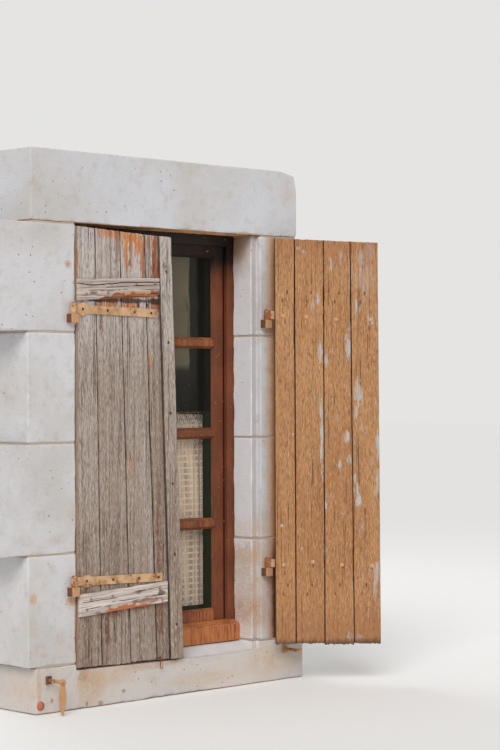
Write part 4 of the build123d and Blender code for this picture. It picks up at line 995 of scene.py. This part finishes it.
def ring(corners, step):
    """Points round a closed outline, spaced by NEAR at its corners, and each point's inward turn.

    Returns points (n, 2), inward normals (n, 2), which are the mitre at a corner, turns (n, 2), which
    blend from each corner's mitre to the normal over 20 mm, and the distance to the nearest corner (n),
    which is endless at a hollow corner. A mitre is (n1 + n2) / (1 + n1 . n2).
    """
    corners = np.asarray(corners, dtype=float)
    if np.sum(corners[:, 0] * np.roll(corners[:, 1], -1) - corners[:, 1] * np.roll(corners[:, 0], -1)) < 0:
        corners = corners[::-1]
    run = np.roll(corners, -1, axis=0) - corners
    long = np.linalg.norm(run, axis=1)
    ahead = run / long[:, None]
    inward = np.stack([-ahead[:, 1], ahead[:, 0]], axis=1)
    before = np.roll(inward, 1, axis=0)
    convex = np.sum(before * ahead, axis=1) > 0
    mitre = (inward + before) / (1 + np.sum(inward * before, axis=1))[:, None]
    after = np.roll(mitre, -1, axis=0)
    points, normals, turns, gaps = [], [], [], []
    for k in range(len(corners)):
        s = spaced(long[k], step, NEAR, min(5, max(1, int(long[k] / NEAR / 3)))) * long[k]
        s = np.unique(np.clip(s, 0, long[k]))[:-1]
        points.append(corners[k] + s[:, None] * ahead[k])
        fade = np.clip(1 - np.stack([s, long[k] - s]) / min(0.020, long[k] / 2), 0, 1)[..., None]
        turns.append(inward[k] + fade[0] * (mitre[k] - inward[k]) + fade[1] * (after[k] - inward[k]))
        normal = np.repeat(inward[k][None], len(s), axis=0)
        normal[0] = mitre[k]
        normals.append(normal)
        to_next = long[k] - s if convex[(k + 1) % len(corners)] else FAR
        gaps.append(np.minimum(s, to_next) if convex[k] else np.where(s > 0, to_next, FAR))
    return tuple(np.concatenate(part) for part in (points, normals, turns, gaps))


def stone(name, corners, low, high, axis, seed, step=0.010, wear=0.0058, reshape=None, extra=()):
    """A dressed stone: an outline carried from low to high along an axis, and closed by its two ends.

    Within r of an arris a point moves in by r - sqrt(r^2 - (r - s)^2), where s is its distance and r
    swings with a noise about wear; the arris itself moves along its mitre by (1 - sqrt(1/2)) r, which
    stays under NEAR, so no point passes its neighbour. Near each end a point moves in by 3 mm, and
    everywhere by 0.4 mm, low noises and pits. extra gives more stations, and reshape takes and gives
    whole arrays of x, y, z. The ends are one face each, or along x a fan round their middle.
    """
    points, normals, turns, gaps = ring(corners, step)
    along = np.union1d(low + spaced(high - low, step, NEAR, 5) * (high - low), extra)
    L, P0 = np.meshgrid(along, points[:, 0], indexing="ij")
    P1 = np.broadcast_to(points[:, 1], L.shape)
    swing = lumps(L * 16, P0 * 16 + P1 * 16, seed) + 0.35 * lumps(L * 60, P0 * 60, seed + 1)
    swing = 0.65 + 0.75 * np.clip(swing, -0.6, 1)
    round_by = np.minimum(wear * swing, 0.0074)
    arris = np.where(gaps[None] < 1e-9, (1 - np.sqrt(0.5)) * round_by, rounded(round_by, gaps[None]))
    rim = 0.0030 * swing * np.clip(1 - np.minimum(L - low, high - L) / 0.007, 0, 1) ** 2
    skin = 0.0004 + 0.0009 * (1 + lumps(L * 11, P0 * 11 + P1 * 9, seed + 2)) * 0.5
    skin = skin + 0.0007 * (1 + lumps(L * 55, P0 * 55 + P1 * 41, seed + 3)) * 0.5
    pit = 0.0022 * np.clip(lumps(L * 75, P0 * 75 + P1 * 63, seed + 4) - 0.72, 0, 1) / 0.28
    even = rim + skin + pit
    A, B = (P + normals[None, :, k] * arris + turns[None, :, k] * even for k, P in enumerate((P0, P1)))
    C = np.clip(L, low + 0.0004, high - 0.0004)
    x, y, z = {"x": (C, A, B), "z": (A, B, C)}[axis]
    if reshape is not None:
        x, y, z = reshape(x, y, z)
    rows, columns = L.shape
    faces = grid_faces(rows, columns, wrap=True)
    grid = np.stack([x, y, z], axis=-1)
    points = grid.reshape(-1, 3)
    one, last = np.arange(columns), (rows - 1) * columns
    if axis == "x":
        two, middle = np.roll(one, -1), np.full(columns, rows * columns)
        points = np.concatenate([points, grid[[0, -1]].mean(axis=1)])
        caps = np.concatenate([np.stack([two, one, middle], axis=-1),
                               np.stack([last + one, last + two, middle + 1], axis=-1)])
    else:
        caps = np.stack([one[::-1], last + one])
    piece = mesh_piece(name, points, [faces, caps])
    outward(piece)
    smooth(piece, 48)
    for face in piece.data.polygons[len(faces):]:
        face.use_smooth = False
    return piece


def build_jambs():
    for side in (-1, 1):
        for course in range(4):
            low = SILL + course * COURSE + BED_JOINT
            high = SILL + (course + 1) * COURSE - (BED_JOINT if course == 3 else 0)
            node = f"{SIDE_NAMES[side]}_jamb_stone_{course + 1}"
            far = ARRIS + (0.362 if course % 2 else 0.221)
            plan = ((ARRIS, 0), (far, 0), (far, DEEP), (REAR, DEEP), (REAR, SEAT), (SIGHT, SEAT), (SIGHT, REBATE),
                    (ARRIS, REBATE))
            corners = [(side * x, WALL + y) for x, y in plan]
            piece = stone(f"{SIDE_NAMES[side]}_quoin_{course + 1}", corners, low, high, "z",
                          200 + course * 7 + (side > 0) * 50)
            # The right jamb gets rust beside its arris, with painted shade between it and the open leaf.
            look = limestone(f"limestone_{node}", 1.7 * course + side, STONE_STAINS.get((side, course), ()),
                             0.10 if course == 0 else 0.0, top_brown=course == 3, rust_and_leaf_shade=side > 0)
            dress(piece, "surround", node, look)


# Stains in millimetres, by side and course: (x, z, half width, half height), strength and colour.
STONE_STAINS = {
    (-1, 0): [(-670, 414, 18, 22, 0.9, (190, 146, 84)), (-620, 209, 16, 9, 0.7, (182, 154, 112)),
        (-494, 400, 30, 32, 1.0, (184, 134, 94)), (-476, 300, 8, 150, 0.7, (182, 136, 102)),
        (-545, 260, 20, 20, 0.35, (196, 164, 134)), (-640, 470, 50, 50, 0.35, (196, 166, 134))],
    (-1, 1): [(-560, 620, 50, 20, 0.35, (184, 156, 128))],
    (-1, 3): [(-506, 1614, 18, 18, 0.9, (184, 132, 94)), (-506, 1614, 6, 5, 1.0, (96, 60, 42)),
        (-478, 1480, 8, 100, 0.5, (186, 146, 112))],
    (1, 0): [(460, 360, 50, 240, 0.75, (190, 156, 124)), (460, 280, 50, 60, 0.6, (176, 132, 92)),
        (460, 500, 50, 40, 0.5, (190, 150, 108))],
    (1, 1): [(460, 600, 50, 50, 0.4, (204, 170, 136))],
    "lintel": [(620, 1930, 50, 50, 0.3, (190, 168, 142))],
    "sill": [(-405, 85, 75, 85, 0.85, (186, 152, 118)), (-300, 110, 120, 45, 0.55, (190, 154, 116)),
        (-440, 120, 30, 30, 0.7, (164, 122, 84)), (-423, 16, 6, 10, 0.9, (92, 62, 44)),
        (-356, 12, 12, 8, 0.9, (92, 62, 44)), (-245, 44, 10, 8, 0.9, (92, 62, 44)),
        (-585, 45, 8, 10, 0.9, (172, 92, 62)), (-100, 130, 160, 22, 0.6, (172, 128, 84)),
        (150, 50, 200, 30, 0.45, (190, 160, 126)), (-645, 90, 12, 75, 0.6, (186, 140, 98)),
        (-602.6, 95, 12, 16, 0.5, (170, 118, 84)), (520, 80, 160, 70, 0.5, (190, 158, 122))],
}


def chipped(x, y, z):
    """Takes the broken corner off the lintel's right end: z held under a line that falls to the end."""
    start = LINTEL_END - 0.083
    line = np.interp(x, [start, LINTEL_END - 0.014, LINTEL_END], [LINTEL_TOP, LINTEL_TOP - 0.017, LINTEL_TOP - 0.075])
    near = np.clip((WALL + 0.090 - y) / 0.014, 0, 1)
    crumble = 0.0018 * (1 + lumps(x * 90, y * 90, 71))
    over = np.clip(z - (line - crumble * (x > start)), 0, None)
    return x, y, z - over * near * (x > start)


def hollow_edge(x, y, z):
    """Spalls along the lintel's lower front arris, deepest where the noise is high.

    The rear rebate stops at the jambs: beyond CLOSED its underside comes down to the bed.
    """
    x, y, z = chipped(x, y, z)
    seated = (abs(x) > CLOSED) & (y > WALL + SEAT - 0.015) & (z < LINTEL + LINTEL_REAR + 0.017)
    z = np.where(seated, LINTEL + 0.0003 + (z - LINTEL) * 0.02, z)
    bite = np.clip(lumps(x * 13, 0 * x, 73) + 0.5 * lumps(x * 47, 0 * x, 74) - 0.25, 0, 1)
    near = np.clip(1 - (z - LINTEL) / 0.016, 0, 1) * np.clip(1 - (y - WALL) / 0.014, 0, 1)
    return x, y + 0.006 * bite * near, z + 0.005 * bite * near


def washed(x, y, z):
    """Cuts the sill's sloping wash between the jambs: z held under the fall from the window outwards."""
    depth = y - WALL
    front = np.interp(x, [-ARRIS, 0.0, 0.06, 0.14], [0.0225, 0.0295, 0.0305, 0.033])
    fall = np.interp(depth, [REBATE, REBATE + 0.055, SEAT], [0.0, 0.005, 0.001])
    sloped = front - 0.0025 - (depth - REBATE) / 0.055 * (front - 0.0075)
    outer = depth < REBATE + 0.0005
    fall = np.where(outer, front - depth * 0.10, np.where(depth < REBATE + 0.054, sloped, fall))
    cut = (abs(x) < np.where(outer, ARRIS, SIGHT)) & (depth < SEAT + 0.0005)
    level = SILL - fall - 0.0006 * (1 + lumps(x * 30, y * 60, 77))
    level = level - 0.004 * np.clip(lumps(x * 9, y * 20, 78) - 0.3, 0, 1)
    z = np.where(cut, np.minimum(z, level), z)
    bite = np.clip(lumps(x * 11, 0 * x, 79) + 0.5 * lumps(x * 41, 0 * x, 80) - 0.3, 0, 1)
    near = np.clip(1 - z / 0.018, 0, 1) * np.clip(1 - depth / 0.014, 0, 1)
    return x, y + 0.007 * bite * near, z + 0.006 * bite * near


def build_lintel_and_sill():
    def profile(*corners):
        return [(WALL + y, z) for y, z in corners]

    lintel = profile((0, LINTEL), (SEAT, LINTEL), (SEAT, LINTEL + LINTEL_REAR), (DEEP, LINTEL + LINTEL_REAR),
                     (DEEP, LINTEL_TOP), (0, LINTEL_TOP))
    jumps = [s * (CLOSED + d) for s in (-1, 1) for d in (-0.0003, 0.0003)]
    chip = [LINTEL_END - d for d in (0.0835, 0.083, 0.05, 0.03, 0.014)]
    piece = stone("lintel_block", lintel, -LINTEL_END, LINTEL_END, "x", 301, 0.0095, 0.0070, hollow_edge,
                  chip + jumps)
    # The lintel: painted shade along its lower edge, and a soffit tint laid brighter as painted light.
    dress(piece, "surround", "lintel_stone",
          limestone("limestone_lintel", 5.5, STONE_STAINS["lintel"],
                    edge_shade=(LINTEL - 0.001, LINTEL + 0.0025, (132, 98, 70)), under=(250, 184, 112),
                    tint=(201, 201, 205)))
    sill = profile((0, 0), (DEEP, 0), (DEEP, SILL), (SEAT, SILL), (REBATE + 0.055, SILL), (REBATE, SILL), (0, SILL))
    jumps = [s * (h + d) for s in (-1, 1) for h in (ARRIS, SIGHT) for d in (-0.0003, 0.0003)]
    piece = stone("sill_block", sill, -0.656, 0.708, "x", 311, 0.0095, 0.0070, washed, jumps)
    # The sill: painted shade along its foot.
    dress(piece, "surround", "sill_stone",
          limestone("limestone_sill", 8.2, STONE_STAINS["sill"], 0.10, edge_shade=(0.001, 0.007, (138, 96, 62)),
                    tint=(201, 192, 184)))


# Net curtains

def build_curtain(side):
    """Net gathered on its rod: x = share of the width, y = rod + deep * sin(turn) + ruffle, z hung from the rod.

    The folds are tight in the ruffled heading, then spread and wander towards the hem.
    """
    name = SIDE_NAMES[side]
    low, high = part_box(f"{name}_sash_curtain")
    rod_y, rod_z = (low[1] + high[1]) / 2, 1.063
    x0, x1 = low[0] - 0.004, high[0] + 0.004
    u = np.linspace(0, 1, 300)
    drop = np.concatenate([np.linspace(0, 0.03, 9)[:-1], np.linspace(0.03, rod_z - low[2] + 0.016, 96)])
    D, U = np.meshgrid(drop, u, indexing="ij")
    spread = np.clip(D / 0.25, 0, 1)
    wander = 0.9 * lumps(U * 5 + 3, D * 2.3, 401 + side) * spread
    turn = 2 * np.pi * 11 * U + 0.4 + wander
    deep = 0.0036 + 0.0016 * lumps(U * 4, D * 2, 403 + side) - 0.0004 * spread
    ruffle = 0.0016 * np.sin(2 * np.pi * 27 * U) * (1 - spread)
    y = rod_y + deep * np.sin(turn) + ruffle
    x = x0 + 0.001 + (x1 - x0 - 0.002) * U
    z = rod_z + 0.0051 - D
    run = np.cumsum(np.hypot(np.diff(x, axis=1), np.diff(y, axis=1)), axis=1)
    flat_x = np.concatenate([np.zeros((len(drop), 1)), run], axis=1)
    wide, tall = float(flat_x[:, -1].mean()), float(drop[-1])
    points = np.stack([x, y, z], axis=-1).reshape(-1, 3)
    uv = np.stack([flat_x, tall - D], axis=-1).reshape(-1, 2)
    piece = mesh_piece(f"{name}_net_curtain", points, [grid_faces(*D.shape)], uv)
    smooth(piece, 80)
    dress(piece, f"{name}_sash", f"{name}_sash_curtain", net_look)


# Finishes of the CAD nodes that stay

def finish_nodes():
    painted = {name: window_paint(f"window_paint_{name}", *rest) for name, *rest in (
        ("frame",), ("bars", 0.62, None, 1.22), ("rails", 1.0), ("stiles", 0.0, 0.409), ("nose", 1.35))}
    looks = {"lime_mortar": lime_mortar(), "fastener_iron": dark_iron(), "rod_brass": brass(),
             "window_glass": glass(), "window_paint": painted["frame"], "rusty_iron": rusty_iron("rusty_iron", 2.0)}
    own = {
        "pintles": rusty_iron("rusty_iron_painted", 4.0, 1.0, True),
        "sill_irons": rusty_iron("rusty_iron_holdbacks", 6.0, 0.6, boss=True),
        "holdback_tongue": rusty_iron("rusty_iron_tongue", 8.0, 1.1, tip=True),
        "left_nails": rusty_iron("rusty_iron_left_nails", 2.5, dark=0.7, faded=True),
        "left_upper_strap": strap_paint("strap_paint_upper", 1.0, eye=0.03),
        "left_lower_strap": strap_paint("strap_paint_lower", 3.0, 0.03, 0.06),
        "right_upper_strap": strap_paint("strap_paint_right_upper", 5.0, 0.02),
        "right_lower_strap": strap_paint("strap_paint_right_lower", 7.0, 0.03),
        "left_hook": rusty_iron("rusty_iron_hook", 9.0),
        "window_weather_rail": painted["nose"],
    }
    for name in SIDE_NAMES.values():
        for part, look in (("glazing_bars", "bars"), ("rails", "rails"), ("hinge_stile", "stiles")):
            own[f"{name}_sash_{part}"] = painted[look]
    replaced = ("_batten", "_curtain", "_cover_strip")
    for node, slot in slots.items():
        if not ("_stone" in node or "_board_" in node or node.endswith(replaced)):
            materials = frame["nodes"][node].data.materials
            materials.clear()
            materials.append(own.get(node) or looks[slot])


# Floor and backdrop

def stage():
    """A wide pale floor that keeps the object's shadow, and a world that is brighter seen than as light."""
    size = 40.0
    corners = [(-size, -size, 0), (size, -size, 0), (size, size, 0), (-size, size, 0)]
    floor = mesh_piece("floor", corners, [np.array([[0, 1, 2, 3]])])
    sheet = Sheet("pale_floor")
    sheet.colour = (238, 237, 235)
    floor.data.materials.append(sheet.finish(0.95, gloss=0.1))
    world = bpy.data.worlds.new("pale_world")
    bpy.context.scene.world = world
    sky = Sheet("pale_world", world)
    ray = sky.node("ShaderNodeLightPath").outputs
    seen = sky.node("ShaderNodeBackground", Color=linear((229, 228, 226)), Strength=1.0)
    fill = sky.node("ShaderNodeBackground", Color=(1.0, 1.0, 1.0, 1.0), Strength=0.50)
    direct = Value(sky, ray["Is Camera Ray"]).most(ray["Is Glossy Ray"]).most(ray["Is Transmission Ray"])
    blend = sky.node("ShaderNodeMixShader", **{"0": direct, "1": fill.outputs[0], "2": seen.outputs[0]})
    sky.node("ShaderNodeOutputWorld", Surface=blend.outputs[0])


stage()
net_look = net()
for side in (-1, 1):
    build_boards(side)
    for level in ("upper", "lower"):
        build_batten(side, level)
    build_domes(side)
    build_curtain(side)
build_strip()
build_jambs()
build_lintel_and_sill()
finish_nodes()

bpy.context.scene.view_settings.view_transform = "Standard"
